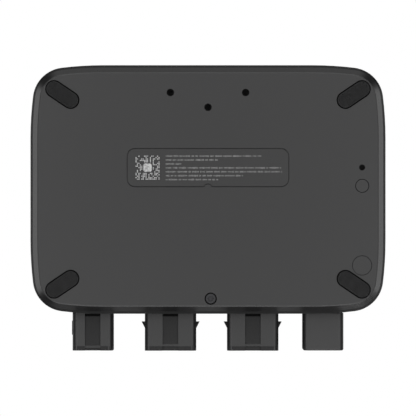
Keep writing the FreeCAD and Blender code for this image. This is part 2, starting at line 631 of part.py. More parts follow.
def power_port(side, x):
    """A high-current port: header with latch barbs, two round contacts and a gasket."""
    name = f"power_header_{side}"
    barbs = [prism(f"{name}_barb", [
        (f"{way} * (power_wide / 2 - 1)", "-case_deep / 2 - barb_start"),
        (f"{way} * (power_wide / 2 + barb_proud)", "-case_deep / 2 - barb_start"),
        (f"{way} * (power_wide / 2)", "-case_deep / 2 - barb_end"),
        (f"{way} * (power_wide / 2 - 1)", "-case_deep / 2 - barb_end"),
    ], "barb_high", x=x, z="port_z - barb_high / 2") for way in (1, -1)]
    spots = [f"{x} + {way} * contact_space / 2" for way in (1, -1)]
    start = f"{MOUTH} + contact_sunk"
    length = f"{PIN_END} + 2 * bar_thick - ({start})"
    bores = [rod(f"{name}_bore", "contact_radius + slip", f"{length} + 4", spot, f"{MOUTH} + 2",
                 "port_z", "y") for spot in spots]
    header(name, x, "power_wide", "power_high", MOUTH, barbs,
           bores + guide_cuts(name, x, "power_wide", "power_high", "power_lip"))
    node(group(f"power_contacts_{side}", [
        cut("contact", rod("contact_pin", "contact_radius", length, spot, start, "port_z", "y"),
            [rod("contact_bore", "contact_radius * 0.6", "contact_sunk * 2", spot, f"{start} - 1",
                 "port_z", "y")]) for spot in spots
    ]), f"power_contacts_{side}")
    header_seal(f"power_seal_{side}", x, "power_wide", "power_high")
    bars = []
    for spot in spots:
        upright = block("bar_upright", "bar_wide", "bar_thick", f"port_z + bar_wide / 2 - {BOARD_TOP}", spot,
                        f"{PIN_END} + bar_thick * 1.5", BOARD_TOP)
        foot = block("bar_base", "bar_wide", "bar_foot", "bar_thick", spot,
                     f"{PIN_END} + bar_thick + bar_foot / 2", BOARD_TOP)
        eye = rod("bar_eye", "contact_radius + slip / 2", "3 * bar_thick", spot, PIN_END, "port_z", "y")
        bars.append(cut("bar", fuse("bar_blank", [upright, foot]), [eye]))
    node(group(f"bus_bars_{side}", bars), f"bus_bars_{side}")


def signal_port():
    """The signal port: a narrower header with a key rib and two rows of pins."""
    x, wide, high = PORT_FRAMES[0]
    key = block("signal_key", "key_proud + 1", "key_end - key_start", "key_high",
                f"{x} + {wide} / 2 + (key_proud - 1) / 2", "-case_deep / 2 - (key_start + key_end) / 2",
                "port_z - key_high / 2")
    start = f"{MOUTH} + contact_sunk"
    bores = pin_grid("signal_pin_bore", x, 5, start, "(pin_wide / 2 + slip)")
    header("signal_header", x, wide, high, MOUTH, [key],
           bores + guide_cuts("signal", x, wide, high, "signal_lip"))
    node(group("signal_pins", pin_grid("signal_pin", x, 5, start)), "signal_pins")
    header_seal("signal_seal", x, wide, high)


def accessory_port():
    """The accessory port: a short header that a push-on dust cap covers."""
    x, wide, high = PORT_FRAMES[3]
    mouth = f"{MOUTH} + cap_end + cap_play"
    start = f"{MOUTH} + contact_sunk + cap_end"
    header("accessory_header", x, wide, high, f"({mouth})", (),
           pin_grid("accessory_pin_bore", x, 4, start, "(pin_wide / 2 + slip)"))
    node(group("accessory_pins", pin_grid("accessory_pin", x, 4, start)), "accessory_pins")
    header_seal("accessory_seal", x, wide, high)
    long = "port_out - gap"
    middle = f"{MOUTH} + ({long}) / 2"
    sides = rounded("cap_sides", block("cap_block", "outer_port_wide", long, "outer_port_high", x,
                                       middle, "port_z - outer_port_high / 2"), size("port_round"),
                    runs_along_y)
    doc.recompute()
    front = sides.Shape.BoundBox.YMin
    blank = rounded("cap_rounded", sides, size("cap_round"),
                    lambda edge: all(abs(v.Y - front) < 1e-6 for v in edge.Vertexes))
    hollow = rounded("cap_hollow", block("cap_space", f"{wide} + 2 * cap_play", "port_out",
                                         f"{high} + 2 * cap_play", x, f"{mouth} - cap_play + port_out / 2",
                                         f"port_z - ({high}) / 2 - cap_play"), size("port_round"),
                     runs_along_y)
    node(cut("dust_cap", blank, [hollow]), "dust_cap")


def port_screws():
    """The small screws that hold the four port flanges to the wall."""
    made = []
    for x, wide, high in PORT_FRAMES:
        back = f"({FLANGE_FACE} + flange_thick)"
        shanks = port_screw_rods(x, wide, high, "port_screw", f"{PAD_FACE} - port_screw_bite",
                                 "flange_thick + port_seal + port_screw_bite + 1", "port_shank")
        heads = port_screw_rods(x, wide, high, "port_screw_head", back, "port_head_thick", "port_head")
        made += [fuse("port_screw", pair) for pair in zip(shanks, heads)]
    node(group("port_screws", made), "port_screws")


# --- Power button and status light ---------------------------------------------------------------

def button_parts():
    """The power button with its spring, the switch behind it, and the status light."""
    face = "(-case_deep / 2 + button_sunk)"
    flange = f"({PAD_FACE} + slip)"
    board = "(-case_deep / 2 + panel_board_y)"
    switch_face = f"({board} - switch_thick)"
    node(fuse("power_button", [
        rod("button_cap", "button_radius", f"{flange} - {face}", BUTTON_X, face, "port_z", "y"),
        rod("button_stop_ring", "button_flange", "button_stop", BUTTON_X, flange, "port_z", "y"),
        rod("button_stem_rod", "button_stem", f"{switch_face} - button_travel - slip - {flange}", BUTTON_X,
            flange, "port_z", "y"),
    ]), "power_button")
    coil, behind = "(button_stem + spring_play)", f"({flange} + button_stop)"
    node(cut("button_spring", rod("spring_outer", f"{coil} + spring_thick",
                                  f"{switch_face} - button_travel - 2 * slip - {behind}", BUTTON_X,
                                  behind, "port_z", "y"),
             [rod("spring_inner", coil, "panel_board_y", BUTTON_X, flange, "port_z", "y")]),
         "button_spring")
    node(block("button_switch", "switch_size", "switch_thick", "switch_size", BUTTON_X,
               f"{board} - switch_thick / 2", "port_z - switch_size / 2"), "button_switch")
    node(block("button_board", "panel_board_wide", "board_thick", "panel_board_high", BUTTON_X,
               f"{board} + board_thick / 2", "port_z - panel_board_high / 2"), "button_board")
    node(block("status_led", "led_size", "led_thick", "led_size", BUTTON_X, f"{board} - led_thick / 2",
               "port_z + light_rise - led_size / 2"), "status_led")
    node(fuse("light_pipe", [
        rod("pipe_rod", "light_radius", f"{board} - led_thick - slip - {face}", BUTTON_X, face,
            "port_z + light_rise", "y"),
        rod("pipe_stop_ring", "light_radius + pipe_stop", "pipe_stop", BUTTON_X, PAD_FACE,
            "port_z + light_rise", "y"),
    ]), "light_pipe")


# --- Air path ------------------------------------------------------------------------------------

VENT_HIGH = "(case_high - vent_drop - vent_low)"
GRILLE_IN = "(case_wide / 2 - wall - side_draft - lip_gap - lip_thick)"


def grille(name, side, holes):
    """A vent grille: a slotted plate in the wall's opening, with a lip behind the wall."""
    made = body(f"{name}_body", x=f"{side} * ({GRILLE_IN})", y="air_y", z=f"vent_low + {VENT_HIGH} / 2")
    lip_shape = sketch(made, f"{name}_lip_shape", "YZ_Plane")
    rectangle(lip_shape, "vent_wide + 2 * grille_lip", f"{VENT_HIGH} + 2 * grille_lip")
    pad(made, f"{name}_lip", lip_shape, "lip_thick", backwards=side < 0)
    plate_shape = sketch(made, f"{name}_plate_shape", "YZ_Plane")
    rectangle(plate_shape, "vent_wide - 2 * gap", f"{VENT_HIGH} - 2 * gap")
    pad(made, f"{name}_plate", plate_shape, f"case_wide / 2 - grille_sunk - {GRILLE_IN}",
        backwards=side < 0)
    slot_shape = sketch(made, f"{name}_slot_shape", "YZ_Plane")
    rectangle(slot_shape, "slot_wide", f"{VENT_HIGH} - 2 * slot_margin",
              x="-slot_pitch * (slot_count - 1) / 2")
    slot = pocket(made, f"{name}_slot", slot_shape, "4 * wall", backwards=side > 0)
    row = made.newObject("PartDesign::LinearPattern", f"{name}_slots")
    row.Originals = [slot]
    row.Direction = (slot_shape, ["H_Axis"])
    bind(row, Length="slot_pitch * (slot_count - 1)", Occurrences="slot_count")
    made.Tip = row
    if not holes:
        return node(made, name)
    return node(cut(name, made, [rod("lip_bore", "fan_hole - 2 * slip", "lip_thick + 4", f"{GRILLE_IN} - 2",
                                     y, z, "x") for fan in (1, -1) for y, z in fan_corners(fan)]), name)


def fan_corners(fan):
    """The places of one fan's four screws, as y and z."""
    return [(f"air_y + {fan} * fan_space / 2 + {sy} * fan_hole_space / 2",
             f"vent_low + {VENT_HIGH} / 2 + {sz} * fan_hole_space / 2") for sy in (1, -1) for sz in (1, -1)]


def fan(side, way):
    """A fan: square frame with struts and a shaft, and a rotor with tilted blades."""
    y, z = f"(air_y + {way} * fan_space / 2)", f"(vent_low + {VENT_HIGH} / 2)"
    back = f"({GRILLE_IN} - fan_thick)"
    frame_box = block(f"fan_box_{side}", "fan_thick", "fan_size", "fan_size", f"{back} + fan_thick / 2", y,
                      f"{z} - fan_size / 2")
    duct = cut(f"fan_duct_{side}", frame_box, [
        rod("fan_hole", "fan_bore", "fan_thick + 2", f"{back} - 1", y, z, "x"),
        *[rod("fan_screw_hole", "fan_hole", "fan_thick + 2", f"{back} - 1", cy, cz, "x")
          for cy, cz in fan_corners(way)],
    ])
    node(fuse(f"fan_frame_{side}", [
        duct,
        rod("fan_hub_plate", "hub_radius", "hub_plate", back, y, z, "x"),
        block("fan_strut", "hub_plate", "2 * fan_bore + 1", "strut_wide", f"{back} + hub_plate / 2", y,
              f"{z} - strut_wide / 2"),
        block("fan_strut", "hub_plate", "strut_wide", "2 * fan_bore + 1", f"{back} + hub_plate / 2", y,
              f"{z} - fan_bore - 0.5"),
        rod("fan_axle", "fan_shaft", "fan_thick - 8 * rotor_play", back, y, z, "x"),
    ]), f"fan_frame_{side}")

    hub_long = size("fan_thick") - size("hub_plate") - 3 * size("rotor_play")
    blades = []
    for i in range(int(size("blade_count"))):
        blade = doc.addObject("Part::Box", "blade")
        bind(blade, Length="blade_chord", Width="blade_thick", Height="blade_tip - hub_radius + 1")
        spin = FreeCAD.Placement(FreeCAD.Vector(), FreeCAD.Rotation(FreeCAD.Vector(1, 0, 0),
                                                                    360 / size("blade_count") * i))
        tilt = FreeCAD.Placement(FreeCAD.Vector(hub_long / 2, 0, size("hub_radius") - 1),
                                 FreeCAD.Rotation(FreeCAD.Vector(0, 0, 1), size("blade_tilt")))
        centre = FreeCAD.Placement(FreeCAD.Vector(-size("blade_chord") / 2, -size("blade_thick") / 2, 0),
                                   FreeCAD.Rotation())
        blade.Placement = spin.multiply(tilt).multiply(centre)
        blades.append(blade)
    hub = rod("fan_hub", "hub_radius", "fan_thick - hub_plate - 3 * rotor_play", along="x", local=True)
    wheel = fuse(f"fan_wheel_{side}", [hub, *blades])
    bore = rod("rotor_bore", "fan_shaft + gap", "fan_thick - hub_plate - 5 * rotor_play", x="-slip / 10",
               along="x", local=True)
    rotor = cut(f"fan_rotor_{side}", wheel, [bore])
    place(rotor, f"{back} + hub_plate + rotor_play", y, z)
    node(rotor, f"fan_rotor_{side}")


def fan_screws():
    """Eight long screws that hold the two fans to the intake grille."""
    back = f"({GRILLE_IN} - fan_thick)"
    made = []
    for way in (1, -1):
        for y, z in fan_corners(way):
            made.append(fuse("fan_screw", [
                rod("fan_screw_shank", "fan_hole - fan_screw_loose", "fan_thick + lip_thick - rotor_play",
                    back, y, z, "x"),
                rod("fan_screw_head", "fan_hole + fan_head_rim", "fan_head_thick",
                    f"{back} - fan_head_thick", y, z, "x"),
            ]))
    node(group("fan_screws", made), "fan_screws")


REAR_Y = "(case_deep / 2 - rear_inset)"
FRONT_Y = "(-case_deep / 2 + front_inset)"
SINK_LOW = f"({BOARD_TOP} + chip_high + pad_thick)"
SINK_LONG = "(case_wide - 2 * sink_inset)"


def heatsink():
    """The finned heat sink between the fans and the exhaust grille, on four posts."""
    fins = [block("fin", SINK_LONG, "fin_thick", f"case_high - roof_thick - sink_clear - {SINK_LOW}", 0,
                  f"air_y + {i / (SIZES['fin_count'] - 1) - 0.5} * (sink_wide - fin_thick)", SINK_LOW)
            for i in range(int(size("fin_count")))]
    base = block("sink_plate", SINK_LONG, "sink_wide", "sink_base", 0, "air_y", SINK_LOW)
    node(fuse("heatsink", [base] + fins), "heatsink")
    node(group("heatsink_posts", [
        rod("sink_post", "post_radius", "chip_high + pad_thick", f"{sx} * ({SINK_LONG} / 2 - post_inset)",
            f"air_y + {sy} * (sink_wide / 2 - post_inset)", BOARD_TOP) for sx in (1, -1) for sy in (1, -1)
    ]), "heatsink_posts")
    spots = [(f"{i - 1.5} * chip_pitch", f"air_y + {side} * chip_rows / 2")
             for i in range(4) for side in (1, -1)]
    node(group("power_transistors", [
        block("chip", "chip_wide", "chip_deep", "chip_high", x, y, BOARD_TOP) for x, y in spots
    ]), "power_transistors")
    node(group("thermal_pads", [
        block("chip_pad", "chip_wide", "chip_deep", "pad_thick", x, y, f"{BOARD_TOP} + chip_high")
        for x, y in spots
    ]), "thermal_pads")


# --- Boards --------------------------------------------------------------------------------------

def main_board():
    """The main circuit board on its stands, with its screws."""
    blank = block("board_blank", BOARD_WIDE, BOARD_DEEP, "board_thick", 0, BOARD_Y, BOARD_LOW)
    node(cut("main_board", blank, [rod("board_hole", "board_screw + 2 * slip", "board_thick + 2", x, y,
                                       f"{BOARD_LOW} - 1") for x, y in STANDS]), "main_board")
    node(group("board_screws", [
        fuse("board_screw_one", [
            rod("board_screw_head", "board_head", "board_head_thick", x, y, BOARD_TOP),
            rod("board_screw_shank", "board_screw",
                "board_thick + board_screw_bite + board_head_thick / 2", x, y,
                f"{BOARD_LOW} - board_screw_bite"),
        ]) for x, y in STANDS
    ]), "board_screws")


def transformer():
    """The transformer: a core with two windows, and a winding round its middle leg."""
    x, y = f"(core_inset - {BOARD_WIDE} / 2)", REAR_Y
    window = "((core_wide - core_leg * 2) / 2)"
    blank = block("core_block", "core_wide", "core_deep", "core_high", x, y, BOARD_TOP)
    node(cut("transformer_core", blank, [
        block("core_window", window, "core_deep + 2", "core_high - core_leg",
              f"{x} + {side} * ({window} + core_leg) / 2", y, f"{BOARD_TOP} + core_leg / 2")
        for side in (1, -1)
    ]), "transformer_core")
    outer = block("coil_block", f"core_leg + 2 * {window} - 2 * gap", f"core_deep + {window}",
                  "core_high - core_leg - 2 * gap", x, y, f"{BOARD_TOP} + core_leg / 2 + gap")
    node(cut("transformer_winding", outer, [
        block("coil_hole", "core_leg + 2 * gap", "core_deep + 2 * gap", "core_high", x, y, BOARD_TOP)
    ]), "transformer_winding")


def choke():
    """The choke: a ring core that stands on its side, with its winding round it."""
    x, y, z = f"({BOARD_WIDE} / 2 - choke_inset)", REAR_Y, f"{BOARD_TOP} + wire_thick"
    ring = cut("choke_core", rod("choke_ring", "choke_outer", "choke_high", x, y, z),
               [rod("choke_eye", "choke_inner", "choke_high + 2", x, y, f"{z} - 1")])
    node(ring, "choke_core")
    outer = rod("wire_outer", "choke_outer + wire_thick", "choke_high + 2 * wire_thick", x, y, BOARD_TOP)
    tools = [
        rod("wire_eye", "choke_inner - wire_thick", "choke_high + 20", x, y, f"{BOARD_TOP} - 1"),
        cut("wire_space", rod("wire_space_out", "choke_outer + slip / 2", "choke_high + slip", x, y,
                              f"{z} - slip / 2"),
            [rod("wire_space_in", "choke_inner - slip / 2", "choke_high + 2", x, y, f"{z} - 1")]),
        block("wire_break", "wire_gap", "choke_outer * 3", "choke_high + 20", x, y, f"{BOARD_TOP} - 1"),
    ]
    node(cut("choke_winding", outer, tools), "choke_winding")


def small_board_parts():
    """Capacitors, fuse and holder, shunt, control board and radio module."""
    node(group("capacitors", [
        rod("can", "can_radius", "can_high", f"{BOARD_WIDE} / 2 - can_inset - {2 - i} * can_pitch",
            f"{REAR_Y} + {row} * can_pitch / 2", BOARD_TOP) for i in range(3) for row in (1, -1)
    ]), "capacitors")
    holder = cut("fuse_holder", block("fuse_base", "fuse_long", "fuse_wide", "fuse_high", 0, FRONT_Y,
                                      BOARD_TOP),
                 [block("fuse_seat", "fuse_long - 2 * fuse_wall", "fuse_wide - fuse_wall - 2 * fuse_play",
                        "fuse_high", 0, FRONT_Y, f"{BOARD_TOP} + fuse_wall")])
    node(holder, "fuse_holder")
    node(block("main_fuse", "fuse_long - 2 * fuse_wall - 2 * fuse_play",
               "fuse_wide - fuse_wall - 4 * fuse_play", "fuse_high - 2 * fuse_play", 0, FRONT_Y,
               f"{BOARD_TOP} + fuse_wall"), "main_fuse")
    node(block("current_shunt", "shunt_long", "shunt_wide", "shunt_thick", "shunt_x", FRONT_Y,
               BOARD_TOP), "current_shunt")
    corners = [(sx, sy) for sx in (1, -1) for sy in (1, -1)]
    node(group("control_spacers", [
        rod("control_spacer", "spacer_radius", "control_lift",
            f"control_x + {sx} * (control_wide / 2 - spacer_inset)",
            f"{FRONT_Y} + {sy} * (control_deep / 2 - spacer_inset)", BOARD_TOP) for sx, sy in corners
    ]), "control_spacers")
    node(block("control_board", "control_wide", "control_deep", "board_thick", "control_x", FRONT_Y,
               f"{BOARD_TOP} + control_lift"), "control_board")
    node(block("radio_module", "radio_wide", "radio_wide", "radio_thick", "control_x - radio_shift", FRONT_Y,
               f"{BOARD_TOP} + control_lift + board_thick"), "radio_module")


# --- Assembly ------------------------------------------------------------------------------------

bottom_shell()
info_label()
feet()
case_seal()
top_shell()
case_screws()
small_underside_parts()
signal_port()
power_port("left", POWER_LEFT_X)
power_port("right", POWER_RIGHT_X)
accessory_port()
port_screws()
button_parts()
grille("intake_grille", 1, True)
grille("exhaust_grille", -1, False)
fan("rear", 1)
fan("front", -1)
fan_screws()
heatsink()
main_board()
transformer()
choke()
small_board_parts()
doc.recompute()

for thing in doc.Objects:
    if {"Invalid", "Error"} & set(thing.State):
        raise RuntimeError(f"{thing.Label} failed: {thing.State}")
for thing in NODES:
    if thing.Shape.isNull() or not thing.Shape.isValid() or not thing.Shape.Solids:
        raise RuntimeError(f"{thing.Label} has no valid shape")
for thing in NODES:
    thing.Shape.exportStep(f"parts/{thing.Label}.step")
print(len(NODES), "sub-parts written")
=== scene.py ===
"""Dresses the vehicle battery charger: finishes with painted edge highlights, painted shade in recesses and a
top shell painted lighter as lit, dark beads and pads as painted shade in grooves and pits, printed plate and
studio.
"""
import json
import logging
import math
import random
from dataclasses import dataclass, field, replace
from enum import Enum

import bmesh
import bpy
from bpy.types import Material, Mesh, Node, NodeSocket, NodeTree, Object
from mathutils import Euler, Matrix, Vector


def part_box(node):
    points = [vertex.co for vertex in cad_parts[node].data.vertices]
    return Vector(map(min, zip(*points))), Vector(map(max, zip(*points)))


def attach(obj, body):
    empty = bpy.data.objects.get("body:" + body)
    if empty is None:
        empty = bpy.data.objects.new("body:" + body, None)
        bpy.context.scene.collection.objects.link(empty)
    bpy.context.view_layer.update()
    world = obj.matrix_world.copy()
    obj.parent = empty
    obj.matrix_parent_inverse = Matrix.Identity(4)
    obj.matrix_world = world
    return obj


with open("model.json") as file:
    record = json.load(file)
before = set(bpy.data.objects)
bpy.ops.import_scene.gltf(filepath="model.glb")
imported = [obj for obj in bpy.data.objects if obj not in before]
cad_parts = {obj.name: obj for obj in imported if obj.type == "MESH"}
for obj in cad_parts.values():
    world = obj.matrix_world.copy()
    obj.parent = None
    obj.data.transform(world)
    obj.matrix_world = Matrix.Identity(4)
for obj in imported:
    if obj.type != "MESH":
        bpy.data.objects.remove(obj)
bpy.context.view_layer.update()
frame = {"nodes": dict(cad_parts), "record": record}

log = logging.getLogger("battery_charger")

Colour = tuple[float, float, float]
CASE_BODY = "case"


class Effect(Enum):
    """The shared shader effects."""

    GRAIN = "spark_grain"
    EDGE = "painted_edge_highlight"
    WALL = "upright_wall"
    STREAK = "metal_streak"
    SUNK = "painted_recess_shade"


class Side(Enum):
    """The parts of the canopy that glow, by where they hang."""

    SIDES = "sides"
    REAR = "rear"
    FRONT = "front"


def fix(piece: Object) -> None:
    """Fix a finished piece to the case and log it."""
    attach(piece, CASE_BODY)
    log.info("%s on %s: %d faces", piece.name, CASE_BODY, len(piece.data.polygons))


def put(name: str, data: object) -> Object:
    """Make an object from a mesh, camera or light and link it to the scene."""
    thing = bpy.data.objects.new(name, data)
    bpy.context.scene.collection.objects.link(thing)
    return thing


# --- Shader node groups ------------------------------------------------------------------------

def add_ends(tree: NodeTree, inputs: dict[str, float]) -> None:
    """Give a node group its number inputs and its two end nodes."""
    for label, value in inputs.items():
        socket = tree.interface.new_socket(label, in_out="INPUT", socket_type="NodeSocketFloat")
        socket.default_value = value
    tree.nodes.new("NodeGroupInput")
    tree.nodes.new("NodeGroupOutput")


def new_group(effect: Effect, inputs: dict[str, float], outputs: list[str]) -> NodeTree:
    """Make an effect's empty node group, with number sockets and its two end nodes, and return its tree."""
    tree = bpy.data.node_groups.new(effect.value, "ShaderNodeTree")
    for label in outputs:
        tree.interface.new_socket(label, in_out="OUTPUT", socket_type="NodeSocketFloat")
    add_ends(tree, inputs)
    return tree


def ends(tree: NodeTree) -> tuple[Node, Node]:
    """Return a group's input node and output node."""
    start = next(n for n in tree.nodes if n.type == "GROUP_INPUT")
    finish = next(n for n in tree.nodes if n.type == "GROUP_OUTPUT")
    return start, finish


def filled(tree: NodeTree, node: Node, values: tuple[object, ...]) -> Node:
    """Give a node's inputs plain values or links, in order, and return the node."""
    for socket, value in zip(node.inputs, values):
        if isinstance(value, (int, float, tuple)):
            socket.default_value = value
        else:
            tree.links.new(value, socket)
    return node


def math_node(tree: NodeTree, operation: str, *values: object) -> NodeSocket:
    """Add a Math node on numbers or sockets and return its result."""
    node = tree.nodes.new("ShaderNodeMath")
    node.operation = operation
    return filled(tree, node, values).outputs[0]


def vector_node(tree: NodeTree, operation: str, *values: object) -> Node:
    """Add a Vector Math node on vectors or sockets and return the node."""
    node = tree.nodes.new("ShaderNodeVectorMath")
    node.operation = operation
    return filled(tree, node, values)


def place_of(tree: NodeTree) -> NodeSocket:
    """Return the surface's place in object coordinates."""
    return tree.nodes.new("ShaderNodeTexCoord").outputs["Object"]


def true_normal(tree: NodeTree) -> NodeSocket:
    """Return the surface's own normal."""
    return tree.nodes.new("ShaderNodeNewGeometry").outputs["Normal"]


def part_of(tree: NodeTree, vector: NodeSocket, axis: str) -> NodeSocket:
    """Return one part, X, Y or Z, of a vector."""
    split = tree.nodes.new("ShaderNodeSeparateXYZ")
    tree.links.new(vector, split.inputs[0])
    return split.outputs[axis]


def noise(tree: NodeTree, vector: NodeSocket, scale: object, **settings: float) -> NodeSocket:
    """Add a noise texture read at a vector, its scale a number or a socket, and return its value."""
    node = tree.nodes.new("ShaderNodeTexNoise")
    tree.links.new(vector, node.inputs["Vector"])
    if isinstance(scale, float):
        node.inputs["Scale"].default_value = scale
    else:
        tree.links.new(scale, node.inputs["Scale"])
    for label, value in settings.items():
        node.inputs[label].default_value = value
    return node.outputs[0]


def held_in_unit(tree: NodeTree, value: NodeSocket) -> NodeSocket:
    """Return a value held between 0 and 1."""
    return math_node(tree, "MAXIMUM", math_node(tree, "MINIMUM", value, 1.0), 0.0)


PIT_SPACING = 0.55
PIT_SHARE = 0.3
# Radius, samples and patch scale of the mask for the painted highlight on edges.
HIGHLIGHT_RADIUS = 0.0006
HIGHLIGHT_SAMPLES = 6
HIGHLIGHT_PATCHES = 60.0
DOWN = -0.98


def spark_grain_group() -> NodeTree:
    """Build the fine spark-eroded grain of a moulded shell: a height and a slow tone drift.

    Returns:
        A group with outputs Height (0 to 1) and Tone (0 to 1).
    """
    tree = new_group(Effect.GRAIN, {"Grain": 1400.0, "Drift": 9.0}, ["Height", "Tone"])
    start, finish = ends(tree)
    place = place_of(tree)
    fine = noise(tree, place, start.outputs["Grain"], Detail=3.0, Roughness=0.62)
    pits = tree.nodes.new("ShaderNodeTexVoronoi")
    tree.links.new(place, pits.inputs["Vector"])
    tree.links.new(math_node(tree, "MULTIPLY", start.outputs["Grain"], PIT_SPACING), pits.inputs["Scale"])
    height = math_node(tree, "ADD", math_node(tree, "MULTIPLY", fine, 1.0 - PIT_SHARE),
                       math_node(tree, "MULTIPLY", pits.outputs["Distance"], PIT_SHARE))
    tree.links.new(height, finish.inputs["Height"])
    tree.links.new(noise(tree, place, start.outputs["Drift"], Detail=2.0), finish.inputs["Tone"])
    return tree


def edge_highlight_group() -> NodeTree:
    """Build the mask for the painted highlight on edges, where the surface turns within a small radius.

    Returns:
        A group with output Edge, 1 on sharp outer edges and 0 on flat ground.
    """
    tree = new_group(Effect.EDGE, {"Gain": 5.0, "Patchiness": 0.35}, ["Edge"])
    start, finish = ends(tree)
    soft = tree.nodes.new("ShaderNodeBevel")
    soft.samples = HIGHLIGHT_SAMPLES
    soft.inputs["Radius"].default_value = HIGHLIGHT_RADIUS
    dot = vector_node(tree, "DOT_PRODUCT", soft.outputs[0], true_normal(tree))
    turned = math_node(tree, "SUBTRACT", 1.0, dot.outputs["Value"])
    gained = math_node(tree, "MULTIPLY", turned, start.outputs["Gain"])
    patch = noise(tree, place_of(tree), HIGHLIGHT_PATCHES)
    kept = math_node(tree, "SUBTRACT", 1.0, math_node(tree, "MULTIPLY", patch, start.outputs["Patchiness"]))
    tree.links.new(held_in_unit(tree, math_node(tree, "MULTIPLY", gained, kept)), finish.inputs["Edge"])
    return tree


def upright_group() -> NodeTree:
    """Build the mask of upright walls, from the surface's own direction.

    Returns:
        A group with output Wall, 1 on upright faces and 0 on level ones.
    """
    tree = new_group(Effect.WALL, {"Start": 0.62, "End": 0.35}, ["Wall"])
    start, finish = ends(tree)
    level = math_node(tree, "ABSOLUTE", part_of(tree, true_normal(tree), "Z"))
    span = math_node(tree, "SUBTRACT", start.outputs["Start"], start.outputs["End"])
    wall = math_node(tree, "DIVIDE", math_node(tree, "SUBTRACT", start.outputs["Start"], level), span)
    tree.links.new(held_in_unit(tree, wall), finish.inputs["Wall"])
    return tree


def streak_group() -> NodeTree:
    """Build drawn or extruded metal's streaks, stretched along one axis.

    Returns:
        A group with output Streak (0 to 1).
    """
    tree = new_group(Effect.STREAK, {"Along": 8.0, "Across": 900.0}, ["Streak"])
    start, finish = ends(tree)
    join = tree.nodes.new("ShaderNodeCombineXYZ")
    for axis, way in zip("XYZ", ("Along", "Across", "Across")):
        tree.links.new(start.outputs[way], join.inputs[axis])
    stretched = vector_node(tree, "MULTIPLY", place_of(tree), join.outputs[0]).outputs[0]
    tree.links.new(noise(tree, stretched, 1.0, Detail=3.0), finish.inputs["Streak"])
    return tree


def sunk_face_group() -> NodeTree:
    """Build the mask of sunk faces on an underside, which are made rougher and given painted shade.

    Returns:
        A group with output Sunk, 1 on faces that look down from above the level.
    """
    tree = new_group(Effect.SUNK, {"Level": 0.02}, ["Sunk"])
    start, finish = ends(tree)
    down = math_node(tree, "LESS_THAN", part_of(tree, true_normal(tree), "Z"), DOWN)
    above = math_node(tree, "GREATER_THAN", part_of(tree, place_of(tree), "Z"), start.outputs["Level"])
    tree.links.new(math_node(tree, "MULTIPLY", down, above), finish.inputs["Sunk"])
    return tree


GROUPS = {
    Effect.GRAIN: spark_grain_group(),
    Effect.EDGE: edge_highlight_group(),
    Effect.WALL: upright_group(),
    Effect.STREAK: streak_group(),
    Effect.SUNK: sunk_face_group(),
}


class Shader:
    """A material under construction, with short calls for its common nodes."""

    def __init__(self, name: str) -> None:
        """Start a material with its Principled BSDF."""
        self.material = bpy.data.materials.new(name)
        self.material.use_nodes = True
        self.tree = self.material.node_tree
        self.surface = self.tree.nodes["Principled BSDF"]

    def group(self, effect: Effect, **values: float) -> Node:
        """Place a shared node group with its own values."""
        node = self.tree.nodes.new("ShaderNodeGroup")
        node.node_tree = GROUPS[effect]
        for label, value in values.items():
            node.inputs[label].default_value = value
        return node

    def number(self, operation: str, *values: object) -> NodeSocket:
        """Add a Math node and return its result."""
        return math_node(self.tree, operation, *values)

    def blend(self, factor: NodeSocket, low: object, high: object) -> NodeSocket:
        """Mix two colours or sockets, low at factor 0 and high at 1, and return the mixed colour."""
        node = self.tree.nodes.new("ShaderNodeMix")
        node.data_type = "RGBA"
        self.tree.links.new(factor, node.inputs[0])
        for socket, value in ((node.inputs[6], low), (node.inputs[7], high)):
            if isinstance(value, tuple):
                socket.default_value = (*value, 1.0)
            else:
                self.tree.links.new(value, socket)
        return node.outputs[2]

    def to(self, socket: NodeSocket, name: str) -> None:
        """Link a socket to an input of the Principled BSDF."""
        self.tree.links.new(socket, self.surface.inputs[name])

    def bump(self, height: NodeSocket, depth: float) -> None:
        """Roughen the surface by a height map of the given depth in metres."""
        node = self.tree.nodes.new("ShaderNodeBump")
        node.inputs["Strength"].default_value = 1.0
        node.inputs["Distance"].default_value = depth
        self.tree.links.new(height, node.inputs["Height"])
        self.tree.links.new(node.outputs[0], self.surface.inputs["Normal"])

    def plain(self, **values: float) -> None:
        """Set plain numbers on the Principled BSDF, by socket name with underscores for spaces."""
        for label, value in values.items():
            self.surface.inputs[label.replace("_", " ")].default_value = value


# --- Finishes ----------------------------------------------------------------------------------

CASE_GREY: Colour = (0.006, 0.006, 0.0063)
# Painted light: the top shell's colour is the case plastic made lighter, as if lit from above.
LIT_COVER_GREY: Colour = (0.022, 0.022, 0.0228)


@dataclass(frozen=True)
class Finish:
    """What every finish has: its tones, its roughness and the depth of its relief.

    The colour drifts between its dark and light shares, and the relief swings the roughness.
    """

    name: str
    colour: Colour
    roughness: float = 0.4
    dark: float = 0.88
    light: float = 1.12
    # Painted highlight: how many times lighter the colour is on edges.
    highlight_lift: float = 4.6
    edge_gain: float = 5.0
    swing: float = 0.12
    depth: float = 0.00001

    def tint(self, factor: float) -> Colour:
        """Return the colour made lighter or darker by a factor."""
        return tuple(channel * factor for channel in self.colour)

    def drifted(self, made: Shader, tone: NodeSocket) -> NodeSocket:
        """Return the colour as it drifts with a tone."""
        return made.blend(tone, self.tint(self.dark), self.tint(self.light))

    def with_edge_highlight(self, made: Shader, ground: NodeSocket) -> NodeSocket:
        """Return a ground colour with a painted highlight on its edges."""
        edge = made.group(Effect.EDGE, Gain=self.edge_gain)
        return made.blend(edge.outputs["Edge"], ground, self.tint(self.highlight_lift))

    def relieved(self, made: Shader, height: NodeSocket, rough: object) -> Material:
        """Return the material, roughened by a height that also swings its roughness both ways."""
        swung = made.number("MULTIPLY", made.number("SUBTRACT", height, 0.5), self.swing)
        made.to(made.number("ADD", rough, swung), "Roughness")
        made.bump(height, self.depth)
        return made.material


